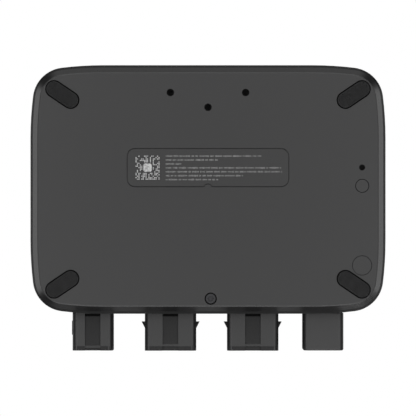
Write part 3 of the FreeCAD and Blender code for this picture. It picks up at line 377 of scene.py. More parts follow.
@dataclass(frozen=True)
class MouldedPlastic(Finish):
    """Moulded plastic with spark grain, a slow tone drift and a painted highlight on its edges."""

    wall_roughness: float = 0.2
    grain: float = 1400.0
    specular: float = 0.53
    sunk_above: float = 0.0
    recess_shade: float = 0.9
    sunk_rough: float = 0.4

    def build(self) -> Material:
        """Build the material."""
        made = Shader(self.name)
        grain = made.group(Effect.GRAIN, Grain=self.grain)
        wall = made.group(Effect.WALL)
        tone = self.with_edge_highlight(made, self.drifted(made, grain.outputs["Tone"]))
        rough = made.number("ADD", self.roughness, made.number(
            "MULTIPLY", wall.outputs["Wall"], self.wall_roughness - self.roughness))
        if self.sunk_above:
            sunk = made.group(Effect.SUNK, Level=self.sunk_above).outputs["Sunk"]
            # Painted shade: sunk faces get a darker colour as well as more roughness.
            tone = made.blend(sunk, tone, self.tint(self.recess_shade))
            rough = made.number("ADD", rough, made.number("MULTIPLY", sunk, self.sunk_rough))
        made.to(tone, "Base Color")
        made.plain(Specular_IOR_Level=self.specular)
        return self.relieved(made, grain.outputs["Height"], rough)


@dataclass(frozen=True)
class Rubber(Finish):
    """Matt rubber with a fine flow texture and a pale painted highlight on its edges."""

    roughness: float = 0.78
    dark: float = 0.8
    light: float = 1.2
    highlight_lift: float = 1.8
    edge_gain: float = 3.0
    depth: float = 0.00002
    grain: float = 900.0
    drift: float = 30.0
    specular: float = 0.3

    def build(self) -> Material:
        """Build the material."""
        made = Shader(self.name)
        grain = made.group(Effect.GRAIN, Grain=self.grain, Drift=self.drift)
        made.to(self.with_edge_highlight(made, self.drifted(made, grain.outputs["Tone"])), "Base Color")
        made.plain(Specular_IOR_Level=self.specular)
        return self.relieved(made, grain.outputs["Height"], self.roughness)


@dataclass(frozen=True)
class Metal(Finish):
    """Drawn, turned or extruded metal with streaks and a painted highlight on its edges."""

    roughness: float = 0.34
    dark: float = 0.82
    light: float = 1.1
    highlight_lift: float = 1.35
    edge_gain: float = 4.0
    swing: float = 0.16
    depth: float = 0.000008
    along: float = 12.0
    across: float = 700.0
    metallic: float = 1.0

    def build(self) -> Material:
        """Build the material."""
        made = Shader(self.name)
        streak = made.group(Effect.STREAK, Along=self.along, Across=self.across).outputs["Streak"]
        made.to(self.with_edge_highlight(made, self.drifted(made, streak)), "Base Color")
        made.plain(Metallic=self.metallic)
        return self.relieved(made, streak, self.roughness)


@dataclass(frozen=True)
class CircuitBoard(Finish):
    """Glass-fibre board: solder mask over a faint weave, with copper showing as a lighter tone."""

    roughness: float = 0.375
    dark: float = 0.8
    light: float = 1.25
    swing: float = 0.15
    depth: float = 0.00002
    grain: float = 500.0
    drift: float = 40.0
    track_scale: float = 160.0
    track_gap: float = 0.06
    track_lift: float = 1.9

    def build(self) -> Material:
        """Build the material."""
        made = Shader(self.name)
        tracks = made.tree.nodes.new("ShaderNodeTexBrick")
        tracks.inputs["Scale"].default_value = self.track_scale
        tracks.inputs["Mortar Size"].default_value = self.track_gap
        made.tree.links.new(place_of(made.tree), tracks.inputs["Vector"])
        grain = made.group(Effect.GRAIN, Grain=self.grain, Drift=self.drift)
        made.to(made.blend(tracks.outputs["Fac"], self.drifted(made, grain.outputs["Tone"]),
                           self.tint(self.track_lift)), "Base Color")
        swung = made.number("MULTIPLY", made.number("SUBTRACT", grain.outputs["Height"], 0.5), self.swing)
        made.to(made.number("ADD", self.roughness, swung), "Roughness")
        made.bump(tracks.outputs["Fac"], self.depth)
        return made.material


@dataclass(frozen=True)
class LightGuide(Finish):
    """Frosted clear plastic that carries the status light."""

    colour: Colour = (0.62, 0.7, 0.7)
    roughness: float = 0.38
    dark: float = 0.85
    light: float = 1.1
    swing: float = 0.2
    grain: float = 800.0
    drift: float = 200.0
    ior: float = 1.49

    def build(self) -> Material:
        """Build the material."""
        made = Shader(self.name)
        grain = made.group(Effect.GRAIN, Grain=self.grain, Drift=self.drift)
        made.to(self.drifted(made, grain.outputs["Tone"]), "Base Color")
        made.plain(IOR=self.ior)
        return self.relieved(made, grain.outputs["Height"], self.roughness)


@dataclass(frozen=True)
class PrintInk(Finish):
    """Pad-printed ink: pale, slightly broken where the grain shows through."""

    roughness: float = 0.575
    swing: float = 0.15
    depth: float = 0.000006
    grain: float = 2600.0
    drift: float = 700.0
    gap_tone: float = 0.22
    contrast: float = 3.0
    least: float = 0.55

    def build(self) -> Material:
        """Build the material."""
        made = Shader(self.name)
        grain = made.group(Effect.GRAIN, Grain=self.grain, Drift=self.drift)
        cover = made.number("MULTIPLY", made.number("SUBTRACT", grain.outputs["Tone"], self.gap_tone),
                            self.contrast)
        held = made.number("MINIMUM", made.number("MAXIMUM", cover, self.least), 1.0)
        made.to(made.blend(held, CASE_GREY, self.colour), "Base Color")
        return self.relieved(made, grain.outputs["Height"], self.roughness)


FINISHES: dict[str, Finish] = {
    "case_plastic": MouldedPlastic("case_plastic", CASE_GREY),
    "port_plastic": MouldedPlastic("port_plastic", (0.0062, 0.0062, 0.0065), grain=1700.0),
    "cap_plastic": MouldedPlastic("cap_plastic", (0.0085, 0.0085, 0.0088), roughness=0.42, grain=1100.0),
    "label_plastic": MouldedPlastic("label_plastic", CASE_GREY, roughness=0.38, grain=2000.0, highlight_lift=2.4),
    "foot_rubber": Rubber("foot_rubber", (0.0145, 0.0145, 0.0149), specular=0.36),
    # Also the near-black colour of the beads and pads laid as painted shade in grooves and pits.
    "seal_rubber": Rubber("seal_rubber", (0.003, 0.003, 0.003), roughness=0.85, specular=0.08),
    # Painted shade: the colour of the line laid in the plate's groove.
    "shade_in_groove": Rubber("shade_in_groove", (0.045, 0.045, 0.045), roughness=0.85, specular=0.25),
    "button_plastic": MouldedPlastic("button_plastic", (0.016, 0.016, 0.0165), roughness=0.3, grain=2200.0),
    "light_plastic": LightGuide("light_plastic"),
    "screw_steel": Metal("screw_steel", (0.036, 0.036, 0.038), roughness=0.42, metallic=0.9),
    "zinc_steel": Metal("zinc_steel", (0.55, 0.56, 0.58), roughness=0.32),
    "spring_steel": Metal("spring_steel", (0.5, 0.5, 0.5), roughness=0.25),
    # Painted shade: the inserts sit sunk in holes and are given a nearly black colour for the shade there.
    "insert_steel": Metal("insert_steel", (0.012, 0.012, 0.012), roughness=0.5),
    "contact_brass": Metal("contact_brass", (0.78, 0.66, 0.42), roughness=0.24),
    "copper_bar": Metal("copper_bar", (0.72, 0.4, 0.27), roughness=0.3),
    "winding_copper": Metal("winding_copper", (0.5, 0.22, 0.09), roughness=0.35, along=900.0, across=30.0),
    "sink_aluminium": Metal("sink_aluminium", (0.62, 0.62, 0.63), roughness=0.38),
    "can_aluminium": MouldedPlastic("can_aluminium", (0.03, 0.03, 0.045), roughness=0.3),
    "ferrite": MouldedPlastic("ferrite", (0.03, 0.03, 0.032), roughness=0.6),
    "board_laminate": CircuitBoard("board_laminate", (0.01, 0.06, 0.03)),
    "chip_plastic": MouldedPlastic("chip_plastic", (0.012, 0.012, 0.012), roughness=0.5),
    "pad_silicone": Rubber("pad_silicone", (0.3, 0.34, 0.4), roughness=0.7),
    "fan_plastic": MouldedPlastic("fan_plastic", (0.014, 0.014, 0.014), roughness=0.35),
    "shield_steel": Metal("shield_steel", (0.6, 0.6, 0.6), roughness=0.3),
}
TEXT_INK = PrintInk("text_ink", (0.3, 0.3, 0.3))
CODE_INK = PrintInk("code_ink", (0.55, 0.55, 0.55))


MERGE = 0.000001
MARK_STEPS = 3
BEAD_STEPS = 2
BEAD_ROUND = 0.35
FLANGE_RISE = 0.007
SUNK_STEP = 0.0003
RECESS_STEP = 0.001


def dress_cad_nodes() -> dict[str, Material]:
    """Give every carried-over CAD node the finish of its material slot.

    Returns:
        The built materials by slot name.
    """
    built = {slot: finish.build() for slot, finish in FINISHES.items()}
    slots = {part["node"]: part["material_slot"] for part in frame["record"]["subparts"]}
    # The open ports' headers get painted shade on their sunk channel faces.
    for name in ("signal_header", "power_header_left", "power_header_right"):
        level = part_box(name)[0].z + FLANGE_RISE + SUNK_STEP
        sunk = replace(FINISHES["port_plastic"], name=f"{name}_plastic", sunk_above=level)
        slots[name] = sunk.name
        built[sunk.name] = sunk.build()
    # The underside gets stronger painted shade on its sunk recess floors.
    under = replace(FINISHES["case_plastic"], name="underside_plastic", recess_shade=0.4, sunk_rough=0.5,
                    sunk_above=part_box("bottom_shell")[0].z + RECESS_STEP)
    # Painted light: the top shell gets a lighter copy of the case plastic, standing in for light on its top.
    cover = replace(FINISHES["case_plastic"], name="lit_cover_plastic", colour=LIT_COVER_GREY, highlight_lift=2.4)
    for name, shell in (("bottom_shell", under), ("top_shell", cover)):
        slots[name] = shell.name
        built[shell.name] = shell.build()
    for name, thing in frame["nodes"].items():
        thing.data.materials.clear()
        thing.data.materials.append(built[slots[name]])
    log.info("%d nodes dressed in %d finishes", len(frame["nodes"]), len(built))
    return built


# --- Geometry node helpers ----------------------------------------------------------------------

def geometry_tree(name: str, inputs: dict[str, float]) -> NodeTree:
    """Make a geometry node tree with a Geometry socket and named number inputs."""
    tree = bpy.data.node_groups.new(name, "GeometryNodeTree")
    for way in ("INPUT", "OUTPUT"):
        tree.interface.new_socket("Geometry", in_out=way, socket_type="NodeSocketGeometry")
    add_ends(tree, inputs)
    return tree


def run_geometry(tree: NodeTree, name: str, seed_mesh: Mesh,
                 values: dict[str, float], material: Material) -> Object:
    """Run a geometry node tree on a mesh and keep the result as a plain object.

    Args:
        tree: The tree, with named inputs.
        name: The new object's name.
        seed_mesh: The mesh that the tree starts from.
        values: Values for the named inputs.
        material: The material of the result.

    Returns:
        An object at the origin with a plain mesh.
    """
    seed = put(f"{name}_seed", seed_mesh)
    modifier = seed.modifiers.new("build", "NODES")
    modifier.node_group = tree
    for item in tree.interface.items_tree:
        if item.item_type == "SOCKET" and item.in_out == "INPUT" and item.name in values:
            modifier[item.identifier] = values[item.name]
    bpy.context.view_layer.update()
    evaluated = seed.evaluated_get(bpy.context.evaluated_depsgraph_get())
    mesh = bpy.data.meshes.new_from_object(evaluated)
    mesh.name = name
    bpy.data.objects.remove(seed)
    mesh.materials.clear()
    mesh.materials.append(material)
    return put(name, mesh)


def rounded_outline(tree: NodeTree, wide: NodeSocket, high: NodeSocket,
                    radius: NodeSocket, steps: int) -> NodeSocket:
    """Add a rectangle with corners rounded in a few steps and return its curve."""
    outline = tree.nodes.new("GeometryNodeCurvePrimitiveQuadrilateral")
    tree.links.new(wide, outline.inputs["Width"])
    tree.links.new(high, outline.inputs["Height"])
    soft = tree.nodes.new("GeometryNodeFilletCurve")
    soft.mode = "POLY"
    soft.inputs["Count"].default_value = steps
    tree.links.new(outline.outputs["Curve"], soft.inputs["Curve"])
    tree.links.new(radius, soft.inputs["Radius"])
    return soft.outputs["Curve"]


def mark_on_points_tree(material: Material) -> NodeTree:
    """Build the tree that sets a thin round-cornered mark on every point, with the point's own height.

    Args:
        material: The mark's material.

    Returns:
        The tree, with inputs Wide, Deep, Corner and Thick in metres.
    """
    tree = geometry_tree("mark_on_points", {"Wide": 0.001, "Deep": 0.001, "Corner": 0.0002, "Thick": 0.00003})
    new, link = tree.nodes.new, tree.links.new
    start = ends(tree)[0]
    outline = rounded_outline(tree, start.outputs["Wide"], start.outputs["Deep"],
                              start.outputs["Corner"], MARK_STEPS)
    face = new("GeometryNodeFillCurve")
    link(outline, face.inputs["Curve"])
    flip = new("GeometryNodeFlipFaces")
    link(face.outputs["Mesh"], flip.inputs["Mesh"])
    rise = new("GeometryNodeExtrudeMesh")
    rise.inputs["Individual"].default_value = False
    link(flip.outputs["Mesh"], rise.inputs["Mesh"])
    link(start.outputs["Thick"], rise.inputs["Offset Scale"])
    both = new("GeometryNodeJoinGeometry")
    link(face.outputs["Mesh"], both.inputs[0])
    link(rise.outputs["Mesh"], both.inputs[0])
    closed = new("GeometryNodeMergeByDistance")
    closed.inputs["Distance"].default_value = MERGE
    link(both.outputs[0], closed.inputs[0])
    stretch = new("GeometryNodeInputNamedAttribute")
    stretch.data_type = "FLOAT"
    stretch.inputs["Name"].default_value = "stretch"
    scale = new("ShaderNodeCombineXYZ")
    scale.inputs["X"].default_value = 1.0
    scale.inputs["Z"].default_value = 1.0
    link(stretch.outputs["Attribute"], scale.inputs["Y"])
    instance = new("GeometryNodeInstanceOnPoints")
    link(start.outputs["Geometry"], instance.inputs["Points"])
    link(closed.outputs[0], instance.inputs["Instance"])
    link(scale.outputs[0], instance.inputs["Scale"])
    realise_and_paint(tree, instance.outputs[0], material)
    return tree


def bead_on_path_tree(material: Material) -> NodeTree:
    """Build the tree that runs a round-topped bead along a closed path.

    Args:
        material: The bead's material.

    Returns:
        The tree, with inputs Breadth and Thick in metres.
    """
    tree = geometry_tree("bead_on_path", {"Breadth": 0.001, "Thick": 0.0004})
    new, link = tree.nodes.new, tree.links.new
    start = ends(tree)[0]
    path = new("GeometryNodeMeshToCurve")
    link(start.outputs["Geometry"], path.inputs["Mesh"])
    level = new("GeometryNodeSetCurveNormal")
    level.mode = "Z_UP"
    link(path.outputs["Curve"], level.inputs["Curve"])
    radius = math_node(tree, "MULTIPLY", start.outputs["Thick"], BEAD_ROUND)
    section = rounded_outline(tree, start.outputs["Thick"], start.outputs["Breadth"], radius, BEAD_STEPS)
    sweep = new("GeometryNodeCurveToMesh")
    link(level.outputs["Curve"], sweep.inputs["Curve"])
    link(section, sweep.inputs["Profile Curve"])
    realise_and_paint(tree, sweep.outputs["Mesh"], material)
    return tree


def realise_and_paint(tree: NodeTree, built: NodeSocket,
                      material: Material) -> None:
    """End a geometry node tree: make instances real, set the material and send the result out."""
    realise = tree.nodes.new("GeometryNodeRealizeInstances")
    tree.links.new(built, realise.inputs[0])
    paint = tree.nodes.new("GeometryNodeSetMaterial")
    paint.inputs["Material"].default_value = material
    tree.links.new(realise.outputs[0], paint.inputs["Geometry"])
    tree.links.new(paint.outputs[0], ends(tree)[1].inputs["Geometry"])


def point_mesh(name: str, points: list[Vector], stretches: list[float]) -> Mesh:
    """Make a mesh of loose points that each carry a stretch."""
    mesh = bpy.data.meshes.new(name)
    mesh.from_pydata([tuple(point) for point in points], [], [])
    attribute = mesh.attributes.new("stretch", "FLOAT", "POINT")
    attribute.data.foreach_set("value", stretches)
    return mesh


def path_mesh(name: str, loops: list[list[Vector]]) -> Mesh:
    """Make a mesh of closed paths, one for each loop of points."""
    points, edges = [], []
    for loop in loops:
        first = len(points)
        kept = [tuple(point) for point, last in zip(loop, [loop[-1], *loop]) if (point - last).length > MERGE]
        points += kept
        edges += [(first + i, first + (i + 1) % len(kept)) for i in range(len(kept))]
    mesh = bpy.data.meshes.new(name)
    mesh.from_pydata(points, edges, [])
    return mesh


# --- Dark beads and pads as painted shade in grooves and pits -----------------------------------

def arc(x: float, y: float, radius: float, start: float, end: float, steps: int = 9) -> list[Vector]:
    """Return points on an arc, with its ends, in degrees."""
    turns = [math.radians(start + (end - start) * i / (steps - 1)) for i in range(steps)]
    return [Vector((x + radius * math.cos(t), y + radius * math.sin(t), 0.0)) for t in turns]


def rounded_loop(long: float, wide: float, corner: float) -> list[Vector]:
    """Return a rounded rectangle as a closed loop of points, centred on the origin."""
    x, y = long / 2 - corner, wide / 2 - corner
    return (arc(x, y, corner, 0, 90) + arc(-x, y, corner, 90, 180)
            + arc(-x, -y, corner, 180, 270) + arc(x, -y, corner, 270, 360))


def lay_bead(name: str, loops: list[list[Vector]], breadth: float, thick: float, material: Material) -> None:
    """Lay a bead along closed paths as one piece and fix it to the case."""
    fix(run_geometry(bead_on_path_tree(material), name, path_mesh(f"{name}_path", loops),
                     {"Breadth": breadth, "Thick": thick}, material))


@dataclass
class FootGrooveShade:
    """A dark rim laid round each rubber foot, at the bottom of its recess, as painted shade in the groove."""

    foot_long: float = 0.0295
    foot_wide: float = 0.0128
    gap: float = 0.0011
    turn: float = 34.0
    breadth: float = 0.00095
    thick: float = 0.0005
    feet: dict[str, int] = field(default_factory=lambda: {
        "foot_rear_left": 1, "foot_rear_right": -1, "foot_front_left": -1, "foot_front_right": 1})

    def loop(self, foot: str, way: int) -> list[Vector]:
        """Return the rim's middle line round one foot."""
        low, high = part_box(foot)
        wide = self.foot_wide + self.gap
        turn = Euler((0.0, 0.0, math.radians(self.turn * way))).to_matrix()
        middle = Vector(((low.x + high.x) / 2, (low.y + high.y) / 2, high.z - self.thick / 2))
        return [turn @ point + middle for point in rounded_loop(self.foot_long + self.gap, wide, wide / 2)]

    def build(self, material: Material) -> None:
        """Build the four rims as one piece."""
        loops = [self.loop(*foot) for foot in self.feet.items()]
        lay_bead("foot_groove_shade", loops, self.breadth, self.thick, material)


@dataclass
class PlateGrooveShade:
    """The dark line laid in the groove round the flush plate as painted shade, which dips round the finger
    notch.
    """

    gap: float = 0.0008
    corner: float = 0.007
    notch_radius: float = 0.0038
    notch_drop: float = 0.00065
    breadth: float = 0.00072
    thick: float = 0.0006

    def loop(self) -> list[Vector]:
        """Return the line's middle, with the notch's arc in its front run."""
        low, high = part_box("info_label")
        half_x = (high.x - low.x + self.gap) / 2
        half_y = (high.y - low.y + self.gap) / 2
        corner = self.corner - self.gap / 2
        x, y = half_x - corner, half_y - corner
        radius = self.notch_radius - self.gap / 2
        rise = self.gap / 2 + self.notch_drop
        lean = math.degrees(math.asin(rise / radius))
        flat = (arc(x, y, corner, 0, 90) + arc(-x, y, corner, 90, 180) + arc(-x, -y, corner, 180, 270)
                + arc(0.0, -half_y - rise, radius, 180 - lean, lean, 15) + arc(x, -y, corner, 270, 360))
        middle = Vector(((low.x + high.x) / 2, (low.y + high.y) / 2, high.z - self.thick / 2))
        return [point + middle for point in flat]

    def build(self, material: Material) -> None:
        """Build the line as one piece."""
        lay_bead("plate_groove_shade", [self.loop()], self.breadth, self.thick, material)


@dataclass
class RingGrooveShade:
    """The dark line laid in the small round groove near the locating hole, as painted shade."""

    x: float = -0.1296
    y: float = 0.003
    radius: float = 0.00555
    groove_deep: float = 0.0008
    steps: int = 49
    breadth: float = 0.0007
    thick: float = 0.0004

    def build(self, material: Material) -> None:
        """Build the line as one piece."""
        low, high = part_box("bottom_shell")
        middle = Vector(((low.x + high.x) / 2 + self.x, (low.y + high.y) / 2 + self.y,
                         low.z + self.groove_deep - self.thick / 2))
        circle = [point + middle for point in arc(0.0, 0.0, self.radius, 0, 360, self.steps)]
        lay_bead("ring_groove_shade", [circle], self.breadth, self.thick, material)


@dataclass
class LatchPitShade:
    """The dark pads laid at the bottom of the open ports' latch pits, as painted shade."""

    places: dict[str, float] = field(default_factory=lambda: {
        "signal_header": 0.098, "power_header_left": 0.0319, "power_header_right": -0.0381})
    before_case: float = 0.0015
    pit_deep: float = 0.002
    wide: float = 0.013
    long: float = 0.0023
    corner: float = 0.0003
    thick: float = 0.0003

    def build(self, material: Material) -> None:
        """Build the three pads as one piece."""
        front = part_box("bottom_shell")[0].y
        points = [Vector((x, front - self.before_case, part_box(name)[0].z + FLANGE_RISE + self.pit_deep))
                  for name, x in self.places.items()]
        piece = run_geometry(mark_on_points_tree(material), "latch_pit_shade",
                             point_mesh("latch_pit_shade_points", points, [1.0] * len(points)),
                             {"Wide": self.wide, "Deep": self.long, "Corner": self.corner,
                              "Thick": self.thick}, material)
        fix(piece)


# --- Printed plate ------------------------------------------------------------------------------

@dataclass
class PrintedPlate:
    """The ink on the flush plate: rows of plain ticks beside a square of scattered dots.

    The ticks stand in for text and the dots for a code; neither can be read.
    """

    row_lengths: tuple[float, ...] = (0.0802, 0.0449, 0.0124, 0.0965, 0.0977, 0.0646, 0.0437)
    first_row: float = 0.0097
    row_pitch: float = 0.0033
    row_start: float = 0.0352
    tick_wide: float = 0.00042
    tick_deep: float = 0.00105
    tick_gap: float = 0.0004
    word_gap: float = 0.0009
    word_ticks: tuple[int, int] = (2, 11)
    tall_share: float = 0.3
    tall: float = 1.45
    ink_thick: float = 0.00004
    square_x: float = 0.0508
    square_side: float = 0.0205
    dots: int = 17
    dot_share: float = 0.74
    dot_fill: float = 0.5
    margin_share: float = 0.46
    patch_share: float = 0.34
    tick_round: float = 0.3
    dot_round: float = 0.3
    patch_round: float = 0.22
    seed: int = 7

    def centre(self) -> Vector:
        """Return the middle of the plate's outer face."""
        low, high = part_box("info_label")
        return Vector(((low.x + high.x) / 2, (low.y + high.y) / 2, low.z))

    def ticks(self, ink: Material) -> Object:
        """Build the rows of ticks, in groups of uneven length.

        Args:
            ink: The ticks' material.

        Returns:
            The ticks as one piece.
        """
        rng = random.Random(self.seed)
        middle = self.centre()
        step = self.tick_wide + self.tick_gap
        points, stretches = [], []
        for row, length in enumerate(self.row_lengths):
            done, left = 0.0, rng.randint(*self.word_ticks)
            while done < length:
                points.append(Vector((self.row_start - done,
                                      middle.y + self.first_row - row * self.row_pitch, middle.z)))
                stretches.append(self.tall if rng.random() < self.tall_share else 1.0)
                left -= 1
                done += step + (self.word_gap if left == 0 else 0.0)
                left = left or rng.randint(*self.word_ticks)
        return run_geometry(mark_on_points_tree(ink), "plate_ticks",
                            point_mesh("tick_points", points, stretches),
                            {"Wide": self.tick_wide, "Deep": self.tick_deep,
                             "Corner": self.tick_wide * self.tick_round, "Thick": self.ink_thick}, ink)

    def scattered_dots(self, ink: Material) -> Object:
        """Build the square of dots, thinned out at random round a blank middle.

        Args:
            ink: The dots' material.

        Returns:
            The dots as one piece.
        """
        rng = random.Random(self.seed)
        middle = self.centre()
        pitch = self.square_side / self.dots
        places = [(i - (self.dots - 1) / 2) * pitch for i in range(self.dots)]
        blank = self.square_side * self.margin_share / 2
        points = [Vector((self.square_x + x, middle.y + y, middle.z)) for x in places for y in places
                  if max(abs(x), abs(y)) > blank and rng.random() < self.dot_fill]
        side = pitch * self.dot_share
        return run_geometry(mark_on_points_tree(ink), "plate_dots",
                            point_mesh("dot_points", points, [1.0] * len(points)),
                            {"Wide": side, "Deep": side, "Corner": side * self.dot_round,
                             "Thick": self.ink_thick}, ink)

    def middle_patch(self, ink: Material) -> Object:
        """Build and return the plain patch in the middle of the dots."""
        middle = self.centre()
        side = self.square_side * self.patch_share
        return run_geometry(mark_on_points_tree(ink), "plate_patch",
                            point_mesh("patch_point", [Vector((self.square_x, middle.y, middle.z))], [1.0]),
                            {"Wide": side, "Deep": side, "Corner": side * self.patch_round,
                             "Thick": self.ink_thick}, ink)

    def build(self) -> None:
        """Build the print and fix it to the case."""
        text_ink, code_ink = TEXT_INK.build(), CODE_INK.build()
        for piece in (self.ticks(text_ink), self.scattered_dots(code_ink), self.middle_patch(code_ink)):
            fix(piece)


# --- Studio -------------------------------------------------------------------------------------

@dataclass
class Lamp:
    """A softbox: where it stands, its size, its power in watts and its name."""

    name: str
    place: tuple[float, float, float]
    wide: float
    high: float
    power: float

    def build(self) -> None:
        """Hang the softbox, facing the charger and out of the camera's sight."""
        data = bpy.data.lights.new(self.name, "AREA")
        data.shape = "RECTANGLE"
        data.size, data.size_y = self.wide, self.high
        data.energy = self.power
        thing = put(self.name, data)
        thing.location = self.place
        thing.rotation_euler = (-Vector(self.place)).to_track_quat("-Z", "Y").to_euler()
        thing.visible_camera = False


def glow_material(name: str) -> tuple[Material, NodeSocket]:
    """Make a material that only shines and return it with the input for its strength."""
    material = bpy.data.materials.new(name)
    material.use_nodes = True
    tree = material.node_tree
    tree.nodes.remove(tree.nodes["Principled BSDF"])
    shine = tree.nodes.new("ShaderNodeEmission")
    tree.links.new(shine.outputs[0], tree.nodes["Material Output"].inputs["Surface"])
    return material, shine.inputs["Strength"]


def stage_for_reflections(name: str, mesh: Mesh, material: Material) -> None:
    """Stage a mesh that only glossy rays meet."""
    mesh.materials.append(material)
    thing = put(name, mesh)
    thing.visible_camera = False
    thing.visible_diffuse = False
    thing.visible_transmission = False
    thing.visible_volume_scatter = False
    thing.visible_shadow = False


@dataclass
class Canopy:
    """Dark studio cloth hung round and over the charger, which only reflections show.

    It keeps the edges of dark plastic dark, as black cards do beside a product on a light table.
    """

    radius: float = 3.0
    lowest: float = -16.0
    highest: float = 89.0
    side_dip: float = 26.0
    dip_start: float = 0.8
    dip_span: float = 0.12
    segments: int = 96
    rings: int = 14
    dark: float = 0.03
    band: float = 0.05
    low_glow: dict[Side, float] = field(default_factory=lambda: {
        Side.SIDES: 0.14, Side.REAR: 0.35, Side.FRONT: 0.4})
    high_glow: dict[Side, float] = field(default_factory=lambda: {
        Side.SIDES: 0.42, Side.REAR: 0.42, Side.FRONT: 0.24})
    low_levels: tuple[float, float] = (0.0, 0.1)
    high_levels: tuple[float, float, float, float] = (0.16, 0.3, 0.6, 0.75)
    glow_span: tuple[float, float] = (0.78, 0.94)

    def mesh(self) -> Mesh:
        """Build the cloth as part of a sphere, open below.

        Returns:
            The cloth's mesh, which dips lower at the two sides.
        """
        made = bmesh.new()
        rows = []
        for ring in range(self.rings):
            row = []
            for i in range(self.segments):
                turn = 2 * math.pi * i / self.segments
                dip = min(1.0, max(0.0, (abs(math.cos(turn)) - self.dip_start) / self.dip_span))
                low = self.lowest - self.side_dip * dip
                lift = math.radians(low + (self.highest - low) * ring / (self.rings - 1))
                row.append(made.verts.new((self.radius * math.cos(lift) * math.cos(turn),
                                           self.radius * math.cos(lift) * math.sin(turn),
                                           self.radius * math.sin(lift))))
            rows.append(row)
        for low, high in zip(rows, rows[1:]):
            for i in range(self.segments):
                after = (i + 1) % self.segments
                made.faces.new((low[i], high[i], high[after], low[after]))
        mesh = bpy.data.meshes.new("canopy")
        made.to_mesh(mesh)
        made.free()
        return mesh

    def ramp(self, tree: NodeTree, value: NodeSocket, start: float, end: float,
             top: float) -> NodeSocket:
        """Return a smooth rise from 0 at the start to the top value at the end."""
        node = tree.nodes.new("ShaderNodeMapRange")
        node.interpolation_type = "SMOOTHSTEP"
        for label, number in (("From Min", start), ("From Max", end), ("To Min", 0.0), ("To Max", top)):
            node.inputs[label].default_value = number
        tree.links.new(value, node.inputs["Value"])
        return node.outputs["Result"]

    def build(self) -> None:
        """Hang the cloth and give each side its tone."""
        material, strength = glow_material("canopy_cloth")
        tree = material.node_tree
        place = place_of(tree)
        up = part_of(tree, vector_node(tree, "NORMALIZE", place).outputs[0], "Z")
        flat = vector_node(tree, "MULTIPLY", place, (1.0, 1.0, 0.0))
        heading = vector_node(tree, "NORMALIZE", flat.outputs[0]).outputs[0]
        back = part_of(tree, heading, "Y")
        ways = {Side.SIDES: math_node(tree, "ABSOLUTE", part_of(tree, heading, "X")), Side.REAR: back,
                Side.FRONT: math_node(tree, "MULTIPLY", back, -1.0)}
        low = math_node(tree, "SUBTRACT", 1.0, self.ramp(tree, up, *self.low_levels, 1.0))
        rise, full, fall, gone = self.high_levels
        high = math_node(tree, "MULTIPLY", self.ramp(tree, up, rise, full, 1.0), math_node(
            tree, "SUBTRACT", 1.0, self.ramp(tree, up, fall, gone, 1.0)))
        glow = math_node(tree, "ADD", self.dark, math_node(tree, "MULTIPLY", high, self.band))
        for level, glows in ((low, self.low_glow), (high, self.high_glow)):
            for way, share in glows.items():
                patch = self.ramp(tree, ways[way], *self.glow_span, share)
                glow = math_node(tree, "ADD", glow, math_node(tree, "MULTIPLY", patch, level))
        tree.links.new(glow, strength)
        stage_for_reflections("canopy", self.mesh(), material)


@dataclass
class EdgeShade:
    """A dark strip on the floor under the charger's edge, which only reflections show.

    It is the shade that the floor has there, so the edge's lower bevel doesn't mirror a lit floor.
    """

    inset: float = 0.004
    beyond: float = 0.002
    corner: float = 0.035
    lift: float = 0.0001
    tone: float = 0.35

    def build(self) -> None:
        """Lay the strip round the case's outline."""
        low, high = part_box("bottom_shell")
        middle = Vector(((low.x + high.x) / 2, (low.y + high.y) / 2, self.lift))
        rows = [[point + middle for point in rounded_loop(
            high.x - low.x + 2 * out, high.y - low.y + 2 * out, self.corner + out)]
            for out in (-self.inset, self.beyond)]
        count = len(rows[0])
        faces = [(i, (i + 1) % count, count + (i + 1) % count, count + i) for i in range(count)]
        mesh = bpy.data.meshes.new("edge_shade")
        mesh.from_pydata([tuple(point) for row in rows for point in row], [], faces)
        material, strength = glow_material("edge_shade_card")
        strength.default_value = self.tone
        stage_for_reflections("edge_shade", mesh, material)


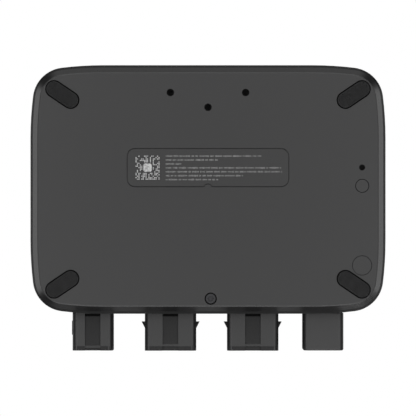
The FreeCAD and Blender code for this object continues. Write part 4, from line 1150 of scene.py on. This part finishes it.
@dataclass
class Studio:
    """Camera below the charger, pale one-sided floor, even light and a white surround."""

    lens: float = 200.0
    sensor: float = 36.0
    frame_wide: float = 0.3515
    outline_height: float = 0.0135
    behind_middle: float = 0.01564
    clip_end: float = 50.0
    world_light: float = 0.42
    sun_power: float = 1.75
    sun_turn: tuple[float, float, float] = (28.0, -24.0, 0.0)
    sun_angle: float = 40.0
    floor_half: float = 4.0
    floor_colour: Colour = (0.86, 0.86, 0.86)
    floor_roughness: float = 0.9
    lamps: tuple[Lamp, ...] = (
        Lamp("softbox_left", (1.0, 0.0, 0.55), 1.0, 0.4, 0.8),
        Lamp("softbox_right", (-1.0, 0.0, 0.55), 1.0, 0.4, 0.8),
        Lamp("softbox_rear", (0.0, 0.8, -0.95), 1.0, 0.7, 3.2),
        Lamp("softbox_front", (0.0, -0.8, -0.95), 1.0, 0.7, 5.0),
        Lamp("softbox_under_left", (0.55, 0.0, -1.1), 0.9, 0.4, 1.6),
        Lamp("softbox_under_right", (-0.55, 0.0, -1.1), 0.9, 0.4, 1.6),
    )

    def camera(self) -> None:
        """Place the camera straight below, looking up, with the rear edge at the top of the frame."""
        data = bpy.data.cameras.new("camera")
        data.lens = self.lens
        data.sensor_width = self.sensor
        data.clip_end = self.clip_end
        distance = self.frame_wide * self.lens / self.sensor
        low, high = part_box("bottom_shell")
        thing = put("camera", data)
        thing.location = (0.0, (low.y + high.y) / 2 - self.behind_middle, self.outline_height - distance)
        thing.rotation_euler = Euler((0.0, math.pi, 0.0))
        bpy.context.scene.camera = thing

    def world(self) -> None:
        """Make the surround white to the camera and in reflections, and a soft light otherwise."""
        world = bpy.data.worlds.new("studio")
        bpy.context.scene.world = world
        world.use_nodes = True
        tree = world.node_tree
        back = tree.nodes["Background"]
        back.inputs["Color"].default_value = (1.0, 1.0, 1.0, 1.0)
        path = tree.nodes.new("ShaderNodeLightPath")
        seen = math_node(tree, "MAXIMUM", path.outputs["Is Camera Ray"], path.outputs["Is Glossy Ray"])
        seen = math_node(tree, "MAXIMUM", seen, path.outputs["Is Transmission Ray"])
        lift = math_node(tree, "MULTIPLY", seen, 1.0 - self.world_light)
        tree.links.new(math_node(tree, "ADD", lift, self.world_light), back.inputs["Strength"])

    def floor(self) -> None:
        """Lay a pale floor that shows only its upper face, so that the underside can be seen."""
        mesh = bpy.data.meshes.new("floor")
        half = self.floor_half
        mesh.from_pydata([(-half, -half, 0), (half, -half, 0), (half, half, 0), (-half, half, 0)], [],
                         [(0, 1, 2, 3)])
        thing = put("floor", mesh)
        material = bpy.data.materials.new("pale_floor")
        material.use_nodes = True
        tree = material.node_tree
        new, link = tree.nodes.new, tree.links.new
        surface = tree.nodes["Principled BSDF"]
        surface.inputs["Base Color"].default_value = (*self.floor_colour, 1.0)
        surface.inputs["Roughness"].default_value = self.floor_roughness
        clear = new("ShaderNodeBsdfTransparent")
        mix = new("ShaderNodeMixShader")
        side = new("ShaderNodeNewGeometry")
        link(side.outputs["Backfacing"], mix.inputs[0])
        link(surface.outputs[0], mix.inputs[1])
        link(clear.outputs[0], mix.inputs[2])
        link(mix.outputs[0], tree.nodes["Material Output"].inputs["Surface"])
        mesh.materials.append(material)
        thing.visible_diffuse = False
        thing.visible_glossy = False
        thing.visible_transmission = False
        thing.visible_shadow = False

    def sun(self) -> None:
        """Add the soft distant light from above."""
        data = bpy.data.lights.new("above", "SUN")
        data.energy = self.sun_power
        data.angle = math.radians(self.sun_angle)
        thing = put("above", data)
        thing.rotation_euler = Euler([math.radians(value) for value in self.sun_turn])

    def build(self) -> None:
        """Set up the camera, the surround, the floor and the lamps."""
        self.camera()
        self.world()
        self.floor()
        self.sun()
        for lamp in self.lamps:
            lamp.build()
        Canopy().build()
        EdgeShade().build()
        bpy.context.scene.view_settings.view_transform = "Standard"
        log.info("studio ready")


def main() -> None:
    """Build the studio, dress the solids and add the printed detail."""
    logging.basicConfig(level=logging.INFO, format="%(message)s")
    Studio().build()
    finishes = dress_cad_nodes()
    # Dark beads and pads laid in grooves and pits as painted shade.
    FootGrooveShade().build(finishes["seal_rubber"])
    PlateGrooveShade().build(finishes["shade_in_groove"])
    RingGrooveShade().build(finishes["seal_rubber"])
    LatchPitShade().build(finishes["seal_rubber"])
    PrintedPlate().build()


if __name__ == "__main__":
    main()
